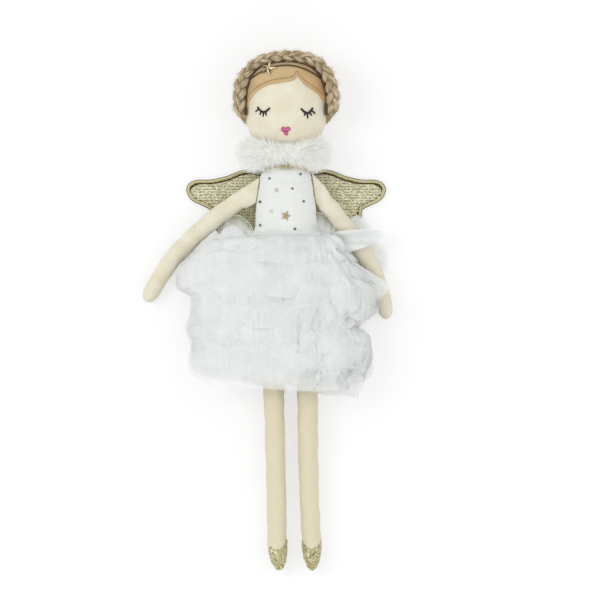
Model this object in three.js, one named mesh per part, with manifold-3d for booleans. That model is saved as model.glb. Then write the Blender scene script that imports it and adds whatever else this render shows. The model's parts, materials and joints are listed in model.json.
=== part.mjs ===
// Cloth angel doll lying on its back. The head, body, arms and legs are stuffed and sewn from front and
// back panels. It has felt hair with a plaited crown, a fur collar, padded wings and a tiered net skirt.
// Millimetres. +X is the doll's own left, +Y runs to the head and +Z points out of the chest.
// The origin is the middle of the back, on the surface that the doll lies on.
import * as THREE from "three";
import { mergeVertices } from "three/addons/utils/BufferGeometryUtils.js";
import Module from "manifold-3d";

const wasm = await Module();
wasm.setup();

// Clearances
const SEAM_GAP = 0.3;
const REST_GAP = 0.4;
const SURFACE_GAP = 0.2;
const FELT_GAP = 0.6;

// Cloth thicknesses
const SKIN = 1;
const FELT = 1.2;
const BAND = 1.2;
const NET = 1.4;
const LINING = 0.8;

// A sewn hinge: a flat seam strip, its hinge line and the flattened edge that swings on it
const SEAM_HALF_DEPTH = 1.3;
const HINGE_REACH = 1.9;
const HINGE_TAIL = 0.5;
const HINGE_EDGE = 0.9;
const STRIP = 0.8;

// Wings
const WING_REACH = 95;
const WING_RISE = 29;
const WING_FALL = 41;
const WING_THICK = 7.4;
const WING_EDGE_THICK = 3;
const WING_PANEL = 0.8;
const WING_ROOT = 11;
const WING_HINGE_GAP = 1.3;
const WING_ROOT_HALF_LENGTH = 20;
const WING_ROOT_THICK = 2.4;
const PIPING_RADIUS = 1.4;

// Body, measured from its bottom seam
const HIP_Y = -88.4;
const HIP_HALF_WIDTH = 34;
const SEAT_HALF_WIDTH = 31;
const WAIST_HEIGHT = 57;
const WAIST_HALF_WIDTH = 31.2;
const CHEST_HEIGHT = 90;
const CHEST_HALF_WIDTH = 28;
const SHOULDER_HEIGHT = 112;
const SHOULDER_HALF_WIDTH = 24.2;
const NECK_RADIUS = 11;
const NECK_PIVOT_HEIGHT = 138.4;
const HIP_FRONT_DEPTH = 17.5;
const HIP_BACK_DEPTH = 15.5;
const WAIST_FRONT_DEPTH = 18;
const WAIST_BACK_DEPTH = 16;
const CHEST_FRONT_DEPTH = 18.5;
const CHEST_BACK_DEPTH = 19.8;

// Head
const HEAD_LENGTH = 79;
const HEAD_HALF_WIDTH = 39.4;
const HEAD_FRONT_DEPTH = 25.5;
const HEAD_OPENING = 14;
const HEAD_OPENING_LIFT = 2;
const NECK_CLEARANCE = 0.5;
const HAIR_SIDE = 30;

// Plait, headband and face
const STRAND_RADIUS = 2.2;
const PLAIT_HALF_WIDTH = 4.5;
const PLAIT_HALF_DEPTH = 4.2;
const PLAIT_TURNS = 5.5;
const PLAIT_END = 25;
const PLAIT_FORWARD = 11;
const PLAIT_LEAN = 0.8;
const HEADBAND_RADIUS = 0.7;
const HEADBAND_DROP = 5;
const HEADBAND_BEND = 0.0105;
const STAR_RADIUS = 7.2;
const STAR_THICK = 1.6;
const THREAD_RADIUS = 0.55;
const LIP_THICK = 0.9;

// Arms
const ARM_RIGHT_OUT = 106.5;
const ARM_RIGHT_DROP = 105.5;
const ARM_LEFT_OUT = 69.7;
const ARM_LEFT_DROP = 122;
const ARM_ROOT_HALF_WIDTH = 11.5;
const UPPER_ARM_HALF_WIDTH = 8.8;
const FOREARM_HALF_WIDTH = 9;
const HAND_HALF_WIDTH = 7.4;
const ARM_HALF_DEPTH = 7.6;

// Legs
const LEG_LENGTH = 266;
const LEG_ROOT_HALF_WIDTH = 12.6;
const THIGH_HALF_WIDTH = 10.6;
const CALF_HALF_WIDTH = 9.6;
const LEG_HALF_DEPTH = 9.4;
const SHOE_LENGTH = 29;
const SHOE_DIP = 8;

// Collar and neck cord
const COLLAR_HALF_WIDTH = 43;
const COLLAR_HALF_DEPTH = 27;
const COLLAR_HALF_HEIGHT = 14.5;
const COLLAR_ROLL = 13;
const COLLAR_Y = 46;
const CORD_RADIUS = 0.9;
const CORD_HEIGHT = 117;
const BOW_HALF_WIDTH = 8;

// Skirt
const BAND_TOP = 62.4;
const BAND_BOTTOM = 54.4;
const LINING_TOP_Y = -35;
const LINING_HEM_Y = -168;
const LINING_HEM_HALF_WIDTH = 58;
const FOLD_DEPTH = 4.5;
const FOLD_COUNT = 11;
const TIERS = [
  { name: "tulle_tier_1", top: -28, hem: -101, tilt: 7, right: 104, left: 77, front: 68 },
  { name: "tulle_tier_2", top: -85, hem: -148, tilt: 7, right: 97, left: 82, front: 66 },
  { name: "tulle_tier_3", top: -134, hem: -185, tilt: 7, right: 92, left: 79, front: 60 },
];
const TIER_COLUMNS = 44;
const TIER_PUFF = 1.6;
const TIER_WIDEST = 0.7;
const TIER_TUCK = 0.03;
const TIER_SIDE_HEIGHT = 9;
const TIER_BACK_HEIGHT = 0.6;
const GATHERS_TOP = 0.23;
const GATHERS_HEM = 0.75;
const GATHERS_SPREAD = 0.36;

// Height of the body's own middle above the surface that the doll lies on
const AXIS_Z = WING_THICK + REST_GAP + CHEST_BACK_DEPTH;
const NECK_PIVOT = new THREE.Vector3(0, HIP_Y + NECK_PIVOT_HEIGHT, AXIS_Z);
const Y = new THREE.Vector3(0, 1, 0);
const Z = new THREE.Vector3(0, 0, 1);

const part = new THREE.Group();
part.name = "cloth_angel_doll";

const CLOTH = {
  muslin: [0xe9dfc6, 0.9],
  cotton: [0xf2f2f0, 0.9],
  fibre: [0xf6f5f0, 1],
  felt: [0xc9aa7b, 0.95],
  yarn: [0xa8946f, 0.95],
  goldCord: [0x8a6a2c, 0.6],
  star: [0xc9a94e, 0.35],
  thread: [0x1c1a1a, 0.7],
  lipThread: [0xd95f9f, 0.7],
  fur: [0xf4f4f4, 1],
  glitter: [0xb9ae86, 0.4],
  piping: [0xa8904e, 0.45],
  net: [0xe6e9e9, 0.8],
  wadding: [0xeeeeea, 1],
};

function addPiece(name, geometry, cloth) {
  const [color, roughness] = CLOTH[cloth];
  const metalness = cloth === "star" ? 0.8 : 0;
  const mesh = new THREE.Mesh(geometry, new THREE.MeshStandardMaterial({ color, roughness, metalness }));
  mesh.name = name;
  part.add(mesh);
}

const mix = (a, b, share) => a + (b - a) * share;
const ease = (share) => share * share * (3 - 2 * share);
const clamp01 = (value) => Math.min(1, Math.max(0, value));
const range = (count) => Array.from({ length: count }, (_, i) => i);

// A smooth size through [place, size] stations that never swings past the stations it joins.
function profile(stations) {
  const last = stations.length - 1;
  const slope = (i) => (stations[i + 1][1] - stations[i][1]) / (stations[i + 1][0] - stations[i][0]);
  const slopes = stations.map((_, i) => {
    if (i === 0 || i === last) {
      return 0;
    }
    const before = slope(i - 1);
    const after = slope(i);
    return before * after <= 0 ? 0 : (2 * before * after) / (before + after);
  });
  return (place) => {
    const at = Math.min(Math.max(place, stations[0][0]), stations[last][0]);
    const i = Math.min(Math.max(stations.findIndex((s) => s[0] >= at) - 1, 0), last - 1);
    const step = stations[i + 1][0] - stations[i][0];
    const t = (at - stations[i][0]) / step;
    const start = stations[i][1] * (1 + 2 * t) * (1 - t) ** 2 + slopes[i] * step * t * (1 - t) ** 2;
    const end = stations[i + 1][1] * t * t * (3 - 2 * t) + slopes[i + 1] * step * t * t * (t - 1);
    return start + end;
  };
}

// A closed body from points and triangles, turned so that it faces outwards.
function body(points, triangles) {
  const raw = new THREE.BufferGeometry().setFromPoints(points);
  raw.setIndex(triangles.flat());
  const joined = mergeVertices(raw, 1e-3);
  const index = joined.getIndex().array;
  const kept = [];
  let volume = 0;
  const at = (i) => new THREE.Vector3().fromBufferAttribute(joined.getAttribute("position"), i);
  for (let i = 0; i < index.length; i += 3) {
    const [a, b, c] = [index[i], index[i + 1], index[i + 2]];
    if (a !== b && b !== c && c !== a) {
      kept.push([a, b, c]);
      volume += at(a).dot(at(b).cross(at(c)));
    }
  }
  joined.setIndex(kept.map((t) => (volume < 0 ? [t[0], t[2], t[1]] : t)).flat());
  joined.computeVertexNormals();
  return joined;
}

const quad = (a, b, c, d) => [[a, b, c], [a, c, d]];

// A closed sheet between two matching grids of points. A round one joins its last column to its first.
function sheet(outer, inner, round) {
  const rows = outer.length;
  const columns = outer[0].length;
  const at = (layer, i, j) => (layer * rows + i) * columns + (j % columns);
  const triangles = [];
  for (const i of range(rows - 1)) {
    for (const j of range(round ? columns : columns - 1)) {
      triangles.push(...quad(at(0, i, j), at(0, i, j + 1), at(0, i + 1, j + 1), at(0, i + 1, j)));
      triangles.push(...quad(at(1, i, j), at(1, i + 1, j), at(1, i + 1, j + 1), at(1, i, j + 1)));
    }
  }
  for (const j of range(round ? columns : columns - 1)) {
    triangles.push(...quad(at(0, 0, j), at(1, 0, j), at(1, 0, j + 1), at(0, 0, j + 1)));
    const end = rows - 1;
    triangles.push(...quad(at(0, end, j), at(0, end, j + 1), at(1, end, j + 1), at(1, end, j)));
  }
  for (const i of round ? [] : range(rows - 1)) {
    const end = columns - 1;
    triangles.push(...quad(at(0, i, 0), at(0, i + 1, 0), at(1, i + 1, 0), at(1, i, 0)));
    triangles.push(...quad(at(0, i, end), at(1, i, end), at(1, i + 1, end), at(0, i + 1, end)));
  }
  return body([...outer.flat(), ...inner.flat()], triangles);
}

// A closed solid through a stack of rings, with a flat cap at each end.
function solid(rings) {
  const columns = rings[0].length;
  const middle = (ring) => ring.reduce((sum, p) => sum.add(p), new THREE.Vector3()).divideScalar(columns);
  const points = [...rings.flat(), middle(rings[0]), middle(rings[rings.length - 1])];
  const at = (i, j) => i * columns + (j % columns);
  const first = rings.length * columns;
  const triangles = [];
  for (const j of range(columns)) {
    for (const i of range(rings.length - 1)) {
      triangles.push(...quad(at(i, j), at(i, j + 1), at(i + 1, j + 1), at(i + 1, j)));
    }
    triangles.push([first, at(0, j + 1), at(0, j)]);
    triangles.push([first + 1, at(rings.length - 1, j), at(rings.length - 1, j + 1)]);
  }
  return body(points, triangles);
}

// A round tube through points, with its spokes set square to an upright direction. A closed one is a loop.
function tube(points, upright, radius, sides, closed = false) {
  const last = points.length - 1;
  const near = (i) => points[closed ? (i + points.length) % points.length : Math.min(Math.max(i, 0), last)];
  const rings = points.map((point, i) => {
    const along = near(i + 1).clone().sub(near(i - 1)).normalize();
    const out = new THREE.Vector3().crossVectors(along, upright).normalize();
    const up = new THREE.Vector3().crossVectors(out, along);
    return range(sides).map((j) => {
      const angle = (2 * Math.PI * j) / sides;
      const spoke = out.clone().multiplyScalar(Math.cos(angle)).addScaledVector(up, Math.sin(angle));
      return point.clone().addScaledVector(spoke, radius);
    });
  });
  if (!closed) {
    return solid(rings);
  }
  const at = (i, j) => (i % points.length) * sides + (j % sides);
  const triangles = points.flatMap((_, i) =>
    range(sides).flatMap((j) => quad(at(i, j), at(i, j + 1), at(i + 1, j + 1), at(i + 1, j))),
  );
  return body(rings.flat(), triangles);
}

function toManifold(geometry) {
  const vertProperties = new Float32Array(geometry.getAttribute("position").array);
  const triVerts = new Uint32Array(geometry.getIndex().array);
  return new wasm.Manifold(new wasm.Mesh({ numProp: 3, vertProperties, triVerts }));
}

function fromManifold(manifold) {
  const mesh = manifold.getMesh();
  const points = range(mesh.vertProperties.length / mesh.numProp).map((i) =>
    new THREE.Vector3().fromArray(mesh.vertProperties, i * mesh.numProp),
  );
  return body(points, range(mesh.triVerts.length / 3).map((i) => [...mesh.triVerts.slice(3 * i, 3 * i + 3)]));
}

const united = (geometries) => fromManifold(geometries.map(toManifold).reduce((sum, next) => sum.add(next)));
const cutBy = (geometry, cutters) =>
  fromManifold(cutters.map(toManifold).reduce((rest, next) => rest.subtract(next), toManifold(geometry)));

// A stuffed form along a line. Its surface at an inset is an ellipse round the line at each place: angle 0
// is one side seam, a quarter turn the front and half a turn the other seam. Its far end is rounded over
// the stated length, and its near end is open. A negative inset lies outside the form.
function stuffedForm({ line, length, rounding, power = 2, halfWidth, front, back, seam }) {
  const frame = (u) => {
    const low = Math.max(u - 0.01, 0);
    const high = Math.min(u + 0.01, 1);
    const along = line(high).sub(line(low)).normalize();
    const outward = Z.clone().addScaledVector(along, -along.z).normalize();
    const across = new THREE.Vector3().crossVectors(along, outward);
    if (seam) {
      across.lerp(seam, 1 - ease(clamp01(u / 0.22))).normalize();
    }
    return { across, outward };
  };
  const rounded = (u) => {
    const share = clamp01((u * length - (length - rounding)) / rounding);
    return (1 - share ** power) ** (1 / power);
  };
  const at = (inset, u, angle) => {
    const { across, outward } = frame(u);
    const depth = Math.sin(angle) >= 0 ? front : back;
    const wide = (halfWidth(u * length) - inset) * rounded(u) * Math.cos(angle);
    const deep = (depth(u * length) - inset) * rounded(u) * Math.sin(angle);
    const tip = u > 1 - rounding / length ? inset * ((u * length - length + rounding) / rounding) : 0;
    const along = line(1).sub(line(0.98)).normalize();
    return line(u).addScaledVector(along, -tip).addScaledVector(across, wide).addScaledVector(outward, deep);
  };
  // The angle, and the last place, at which the front of the surface stands a given depth off the line
  const fullDepth = (inset, u) => (front(u * length) - inset) * rounded(u);
  const angleOfDepth = (inset, u, depth) => Math.asin(clamp01(depth / fullDepth(inset, u)));
  const placeOfDepth = (inset, depth) => {
    const share = (1 - (depth / (front(length) - inset)) ** power) ** (1 / power);
    return 1 - (rounding / length) * (1 - share);
  };
  return { at, length, rounding, angleOfDepth, placeOfDepth };
}

// Places along a form, closer together where its end is rounded.
function places(form, from, count, endCount) {
  const bend = 1 - form.rounding / form.length;
  const body = range(count).map((i) => mix(from, bend, i / count));
  const end = range(endCount + 1).map((i) => mix(bend, 1, Math.sin((i / endCount) * (Math.PI / 2))));
  return [...body, ...end];
}

const FRONT = { from: 0, lift: 0.5 };
const BACK = { from: Math.PI, lift: -0.5 };

// One of a form's two panels. Each of its spots is a place along the form, or a place at each angle.
const placeAt = (spot, angle) => (typeof spot === "function" ? spot(angle) : spot);
function panel(form, half, outerInset, innerInset, spots, columns) {
  const angles = range(columns + 1).map((j) => half.from + (Math.PI * j) / columns);
  const grid = (inset) =>
    spots.map((spot) =>
      angles.map((angle) => form.at(inset, placeAt(spot, angle), angle).addScaledVector(Z, half.lift * SEAM_GAP)),
    );
  return sheet(grid(outerInset), grid(innerInset), false);
}

// Rings round a form, with the stated number of columns on each half.
function ringsOf(form, inset, spots, columns) {
  const angles = range(2 * columns).map((j) => (Math.PI * j) / columns);
  return spots.map((spot) => angles.map((angle) => form.at(inset, placeAt(spot, angle), angle)));
}

const stuffing = (form, spots, columns) => solid(ringsOf(form, SKIN + SEAM_GAP, spots, columns));

// A closed band round a form, between two insets.
function bandRound(form, outerInset, innerInset, spots, columns) {
  return sheet(ringsOf(form, outerInset, spots, columns), ringsOf(form, innerInset, spots, columns), true);
}

// Body
const bodyLength = NECK_PIVOT_HEIGHT + NECK_RADIUS;
const torso = stuffedForm({
  length: bodyLength,
  rounding: NECK_RADIUS,
  line: (u) => new THREE.Vector3(0, HIP_Y + u * bodyLength, AXIS_Z),
  halfWidth: profile([
    [0, SEAT_HALF_WIDTH],
    [0.55 * WAIST_HEIGHT, HIP_HALF_WIDTH],
    [WAIST_HEIGHT, WAIST_HALF_WIDTH],
    [CHEST_HEIGHT, CHEST_HALF_WIDTH],
    [SHOULDER_HEIGHT, SHOULDER_HALF_WIDTH],
    [SHOULDER_HEIGHT + 7, 0.75 * SHOULDER_HALF_WIDTH],
    [SHOULDER_HEIGHT + 14, NECK_RADIUS],
    [bodyLength, NECK_RADIUS],
  ]),
  front: profile([
    [0, SEAM_HALF_DEPTH],
    [0.2 * WAIST_HEIGHT, 0.5 * HIP_FRONT_DEPTH],
    [0.55 * WAIST_HEIGHT, HIP_FRONT_DEPTH],
    [WAIST_HEIGHT, WAIST_FRONT_DEPTH],
    [CHEST_HEIGHT, CHEST_FRONT_DEPTH],
    [SHOULDER_HEIGHT, 0.85 * CHEST_FRONT_DEPTH],
    [SHOULDER_HEIGHT + 14, NECK_RADIUS],
    [bodyLength, NECK_RADIUS],
  ]),
  back: profile([
    [0, SEAM_HALF_DEPTH],
    [0.2 * WAIST_HEIGHT, 0.5 * HIP_BACK_DEPTH],
    [0.55 * WAIST_HEIGHT, HIP_BACK_DEPTH],
    [WAIST_HEIGHT, WAIST_BACK_DEPTH],
    [CHEST_HEIGHT - 8, CHEST_BACK_DEPTH],
    [CHEST_HEIGHT + 12, CHEST_BACK_DEPTH],
    [SHOULDER_HEIGHT + 4, 0.75 * CHEST_BACK_DEPTH],
    [SHOULDER_HEIGHT + 14, NECK_RADIUS],
    [bodyLength, NECK_RADIUS],
  ]),
});
const bodyPlace = (height) => height / bodyLength;
const bandSpots = [BAND_BOTTOM, BAND_TOP].map(bodyPlace);
const torsoSpots = [...places(torso, 0, 9, 3), ...bandSpots].sort((a, b) => a - b);
addPiece("bodice_front", panel(torso, FRONT, 0, SKIN, torsoSpots, 8), "cotton");
addPiece("bodice_back", panel(torso, BACK, 0, SKIN, torsoSpots, 8), "cotton");
addPiece("body_stuffing", stuffing(torso, torsoSpots.slice(1), 8), "fibre");

// Head
const headBase = NECK_PIVOT.y + HEAD_OPENING_LIFT;
const headBackDepth = AXIS_Z - FELT_GAP - FELT - 0.5 * SEAM_GAP - SURFACE_GAP;
const head = stuffedForm({
  length: HEAD_LENGTH,
  rounding: 0.575 * HEAD_LENGTH,
  power: 3,
  line: (u) => new THREE.Vector3(0, headBase + u * HEAD_LENGTH, AXIS_Z),
  halfWidth: profile([
    [0, HEAD_OPENING],
    [0.05 * HEAD_LENGTH, 0.62 * HEAD_HALF_WIDTH],
    [0.11 * HEAD_LENGTH, 0.81 * HEAD_HALF_WIDTH],
    [0.21 * HEAD_LENGTH, 0.93 * HEAD_HALF_WIDTH],
    [0.4 * HEAD_LENGTH, HEAD_HALF_WIDTH],
    [HEAD_LENGTH, HEAD_HALF_WIDTH],
  ]),
  front: profile([
    [0, HEAD_OPENING],
    [0.06 * HEAD_LENGTH, 0.72 * HEAD_FRONT_DEPTH],
    [0.2 * HEAD_LENGTH, 0.92 * HEAD_FRONT_DEPTH],
    [0.4 * HEAD_LENGTH, HEAD_FRONT_DEPTH],
    [HEAD_LENGTH, HEAD_FRONT_DEPTH],
  ]),
  back: profile([
    [0, HEAD_OPENING],
    [0.1 * HEAD_LENGTH, 0.72 * headBackDepth],
    [0.35 * HEAD_LENGTH, headBackDepth],
    [HEAD_LENGTH, headBackDepth],
  ]),
});
const headPlace = (height) => height / HEAD_LENGTH;
const socketPlace = headPlace(NECK_RADIUS + NECK_CLEARANCE - HEAD_OPENING_LIFT);
const headSpots = [0, 0.025, 0.06, ...places(head, socketPlace, 3, 6)];
addPiece("head_front", panel(head, FRONT, 0, SKIN, headSpots, 12), "muslin");
addPiece("head_back", panel(head, BACK, 0, SKIN, headSpots, 12), "muslin");
addPiece("head_stuffing", stuffing(head, headSpots.slice(3), 12), "fibre");

// Felt hair: the hairline is a height above the head's opening at each share of the way across the face
const hairline = profile([
  [-1, HAIR_SIDE],
  [-0.86, 0.53 * HEAD_LENGTH],
  [-0.55, 0.68 * HEAD_LENGTH],
  [-0.2, 0.74 * HEAD_LENGTH],
  [0.14, 0.76 * HEAD_LENGTH],
  [0.36, 0.82 * HEAD_LENGTH],
  [0.52, 0.73 * HEAD_LENGTH],
  [0.8, 0.62 * HEAD_LENGTH],
  [0.93, 0.5 * HEAD_LENGTH],
  [1, HAIR_SIDE],
]);
const hairInner = -FELT_GAP;
const hairOuter = -FELT_GAP - FELT;
const hairFrontSpots = range(7).map((i) => (angle) => {
  const low = headPlace(hairline(Math.cos(angle)));
  return mix(low, 1, Math.sin(((i / 6) * Math.PI) / 2));
});
addPiece("hair_front", panel(head, FRONT, hairOuter, hairInner, hairFrontSpots, 20), "felt");
addPiece("hair_back", panel(head, BACK, hairOuter, hairInner, headSpots.slice(4), 12), "felt");

// Plaited crown: three strands cross in turn along a line that follows the head's side seam
const plaitInset = hairOuter - SEAM_GAP - PLAIT_HALF_WIDTH - STRAND_RADIUS - PLAIT_LEAN;
const plaitTop = head.placeOfDepth(plaitInset, PLAIT_FORWARD);
const plaitSide = [0, 0.2, 0.4, 0.58, 0.74, 0.86, 0.94, 0.985].map((share) => {
  const u = mix(headPlace(PLAIT_END), plaitTop, share);
  return head.at(plaitInset, u, head.angleOfDepth(plaitInset, u, PLAIT_FORWARD));
});
const flipped = (p) => new THREE.Vector3(-p.x, p.y, p.z);
const plaitLine = new THREE.CatmullRomCurve3(
  [...plaitSide.map(flipped), head.at(plaitInset, plaitTop, Math.PI / 2), ...plaitSide.toReversed()],
  false,
  "centripetal",
);
function strandPoint(share, strand) {
  const along = plaitLine.getTangentAt(share);
  const out = new THREE.Vector3().crossVectors(along, Z).normalize();
  const phase = 2 * Math.PI * (PLAIT_TURNS * share + strand / 3);
  const point = plaitLine.getPointAt(share);
  point.addScaledVector(out, PLAIT_HALF_WIDTH * Math.sin(phase));
  return point.addScaledVector(Z, PLAIT_HALF_DEPTH * Math.sin(2 * phase));
}
for (const strand of range(3)) {
  const points = range(61).map((i) => strandPoint(i / 60, strand));
  addPiece(`plait_strand_${strand + 1}`, tube(points, Z, STRAND_RADIUS, 6), "yarn");
}

// A point of the face at a place across and a height, lifted off the cloth by a distance
function facePoint(x, height, lift) {
  let angle = Math.PI / 2;
  for (const _ of range(30)) {
    angle -= (x - head.at(-lift, headPlace(height), angle).x) / HEAD_HALF_WIDTH;
  }
  return head.at(-lift, headPlace(height), angle);
}
const faceCurve = (spots, lift) =>
  new THREE.CatmullRomCurve3(
    spots.map(([x, height]) => facePoint(x, height, lift)),
    false,
    "centripetal",
  );

// Headband
const bandLift = FELT_GAP + FELT + SEAM_GAP + HEADBAND_RADIUS;
const headbandHeight = (x) => HEAD_LENGTH - HEADBAND_DROP - HEADBAND_BEND * x * x;
const headbandSpots = [-31, -21, -10, 0, 10, 20, 31].map((x) => [x, headbandHeight(x)]);
const headbandPoints = faceCurve(headbandSpots, bandLift).getSpacedPoints(24);
addPiece("headband_cord", tube(headbandPoints, Z, HEADBAND_RADIUS, 5), "goldCord");
const starShape = new THREE.Shape(
  range(10).map((i) => {
    const radius = i % 2 ? 0.45 * STAR_RADIUS : STAR_RADIUS;
    return new THREE.Vector2(radius * Math.sin((i * Math.PI) / 5), radius * Math.cos((i * Math.PI) / 5));
  }),
);
function placedOnFace(geometry, x, height, lift) {
  const at = facePoint(x, height, lift);
  const right = facePoint(x + 1, height, lift).sub(at);
  const up = facePoint(x, height + 1, lift).sub(at);
  const normal = new THREE.Vector3().crossVectors(right, up).normalize();
  const turn = new THREE.Quaternion().setFromUnitVectors(Z, normal);
  return geometry.applyQuaternion(turn).translate(at.x, at.y, at.z);
}
function thickened(shape, thick, curveSegments) {
  const made = new THREE.ExtrudeGeometry(shape, { depth: thick, bevelEnabled: false, curveSegments });
  const place = made.getAttribute("position");
  const points = range(place.count).map((i) => new THREE.Vector3().fromBufferAttribute(place, i));
  return body(points, range(place.count / 3).map((i) => [3 * i, 3 * i + 1, 3 * i + 2]));
}
const starLift = bandLift + HEADBAND_RADIUS + SEAM_GAP;
const starX = -17;
const starHeight = headbandHeight(starX) - 0.2 * STAR_RADIUS;
addPiece("headband_star", placedOnFace(thickened(starShape, STAR_THICK, 1), starX, starHeight, starLift), "star");

// Closed eyes: a curved lid with lashes below it
const threadLift = SEAM_GAP + THREAD_RADIUS;
function eye(x, height, tilt) {
  const spot = (dx, dy) => [x + dx, height + dy + tilt * dx];
  const lid = faceCurve([spot(-5.4, 1.9), spot(-3, -0.6), spot(0, -1.7), spot(3, -0.6), spot(5.4, 1.9)], threadLift);
  const lashes = [
    [-4.6, 0.8, -7, -2],
    [-1.9, -1.2, -2.9, -5],
    [1.4, -1.4, 1.9, -5.6],
    [4.2, 0.4, 6.2, -2.8],
  ].map(([x0, y0, x1, y1]) => {
    const lash = faceCurve([spot(x0, y0), spot(x1, y1)], threadLift);
    return tube(lash.getSpacedPoints(1), Z, THREAD_RADIUS, 5);
  });
  return united([tube(lid.getSpacedPoints(8), Z, THREAD_RADIUS, 5), ...lashes]);
}
addPiece("eye_right", eye(-21, 34, 0), "thread");
addPiece("eye_left", eye(20.5, 33, 0.03), "thread");

// Lips: two lobes above and a smaller one below
const lipShape = new THREE.Shape();
lipShape.moveTo(0, -4.4);
lipShape.bezierCurveTo(1.6, -4.4, 2.2, -2.6, 1.9, -1.2);
lipShape.bezierCurveTo(3, -0.8, 4.3, 0.6, 4.3, 2);
lipShape.bezierCurveTo(4.3, 4.4, 1.4, 4.8, 0, 2.6);
lipShape.bezierCurveTo(-1.4, 4.8, -4.3, 4.4, -4.3, 2);
lipShape.bezierCurveTo(-4.3, 0.6, -3, -0.8, -1.9, -1.2);
lipShape.bezierCurveTo(-2.2, -2.6, -1.6, -4.4, 0, -4.4);
addPiece("lips", placedOnFace(thickened(lipShape, LIP_THICK, 5), -0.3, 14.5, 2 * SEAM_GAP), "lipThread");

// Fur collar: a roll round the neck that the chin and the shoulders press into
const rollRadius = COLLAR_HALF_WIDTH - COLLAR_ROLL;
const rollProfile = range(11).map((i) => {
  const angle = (2 * Math.PI * i) / 10;
  return new THREE.Vector2(rollRadius + COLLAR_ROLL * Math.cos(angle), COLLAR_HALF_HEIGHT * Math.sin(angle));
});
const rollRings = range(28).map((i) => {
  const turn = (2 * Math.PI * i) / 28;
  return rollProfile.slice(0, 10).map((p) => {
    const depth = (p.x * COLLAR_HALF_DEPTH) / COLLAR_HALF_WIDTH;
    return new THREE.Vector3(p.x * Math.cos(turn), COLLAR_Y + p.y, AXIS_Z + depth * Math.sin(turn));
  });
});
const ringAt = (i, j) => (i % 28) * 10 + (j % 10);
const rollTriangles = range(28).flatMap((i) =>
  range(10).flatMap((j) => quad(ringAt(i, j), ringAt(i, j + 1), ringAt(i + 1, j + 1), ringAt(i + 1, j))),
);
const grownHead = solid(ringsOf(head, -REST_GAP, headSpots, 12));
const grownBody = solid(ringsOf(torso, -REST_GAP, torsoSpots, 8));
addPiece("fur_collar", cutBy(body(rollRings.flat(), rollTriangles), [grownHead, grownBody]), "fur");

// Gold cord round the top of the bodice, with a small bow
const cordInset = -SEAM_GAP - CORD_RADIUS;
const turnsOf = (count) => range(count).map((j) => (2 * Math.PI * j) / count);
const cordPath = (turn) => torso.at(cordInset, bodyPlace(CORD_HEIGHT), turn);
addPiece("neck_cord", tube(turnsOf(24).map(cordPath), Y, CORD_RADIUS, 5, true), "goldCord");
const bowFront = cordPath(Math.PI / 2).add(new THREE.Vector3(0, -CORD_RADIUS, CORD_RADIUS));
const bowLift = 2 * CORD_RADIUS + SEAM_GAP;
const bowPath = (turn) =>
  new THREE.Vector3(
    bowFront.x + BOW_HALF_WIDTH * Math.sin(turn),
    bowFront.y + 0.36 * BOW_HALF_WIDTH * Math.sin(2 * turn),
    bowFront.z + bowLift + 1.3 * CORD_RADIUS * Math.cos(turn),
  );
addPiece("neck_bow", tube(turnsOf(28).map(bowPath), Z, 0.8 * CORD_RADIUS, 5, true), "goldCord");

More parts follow.
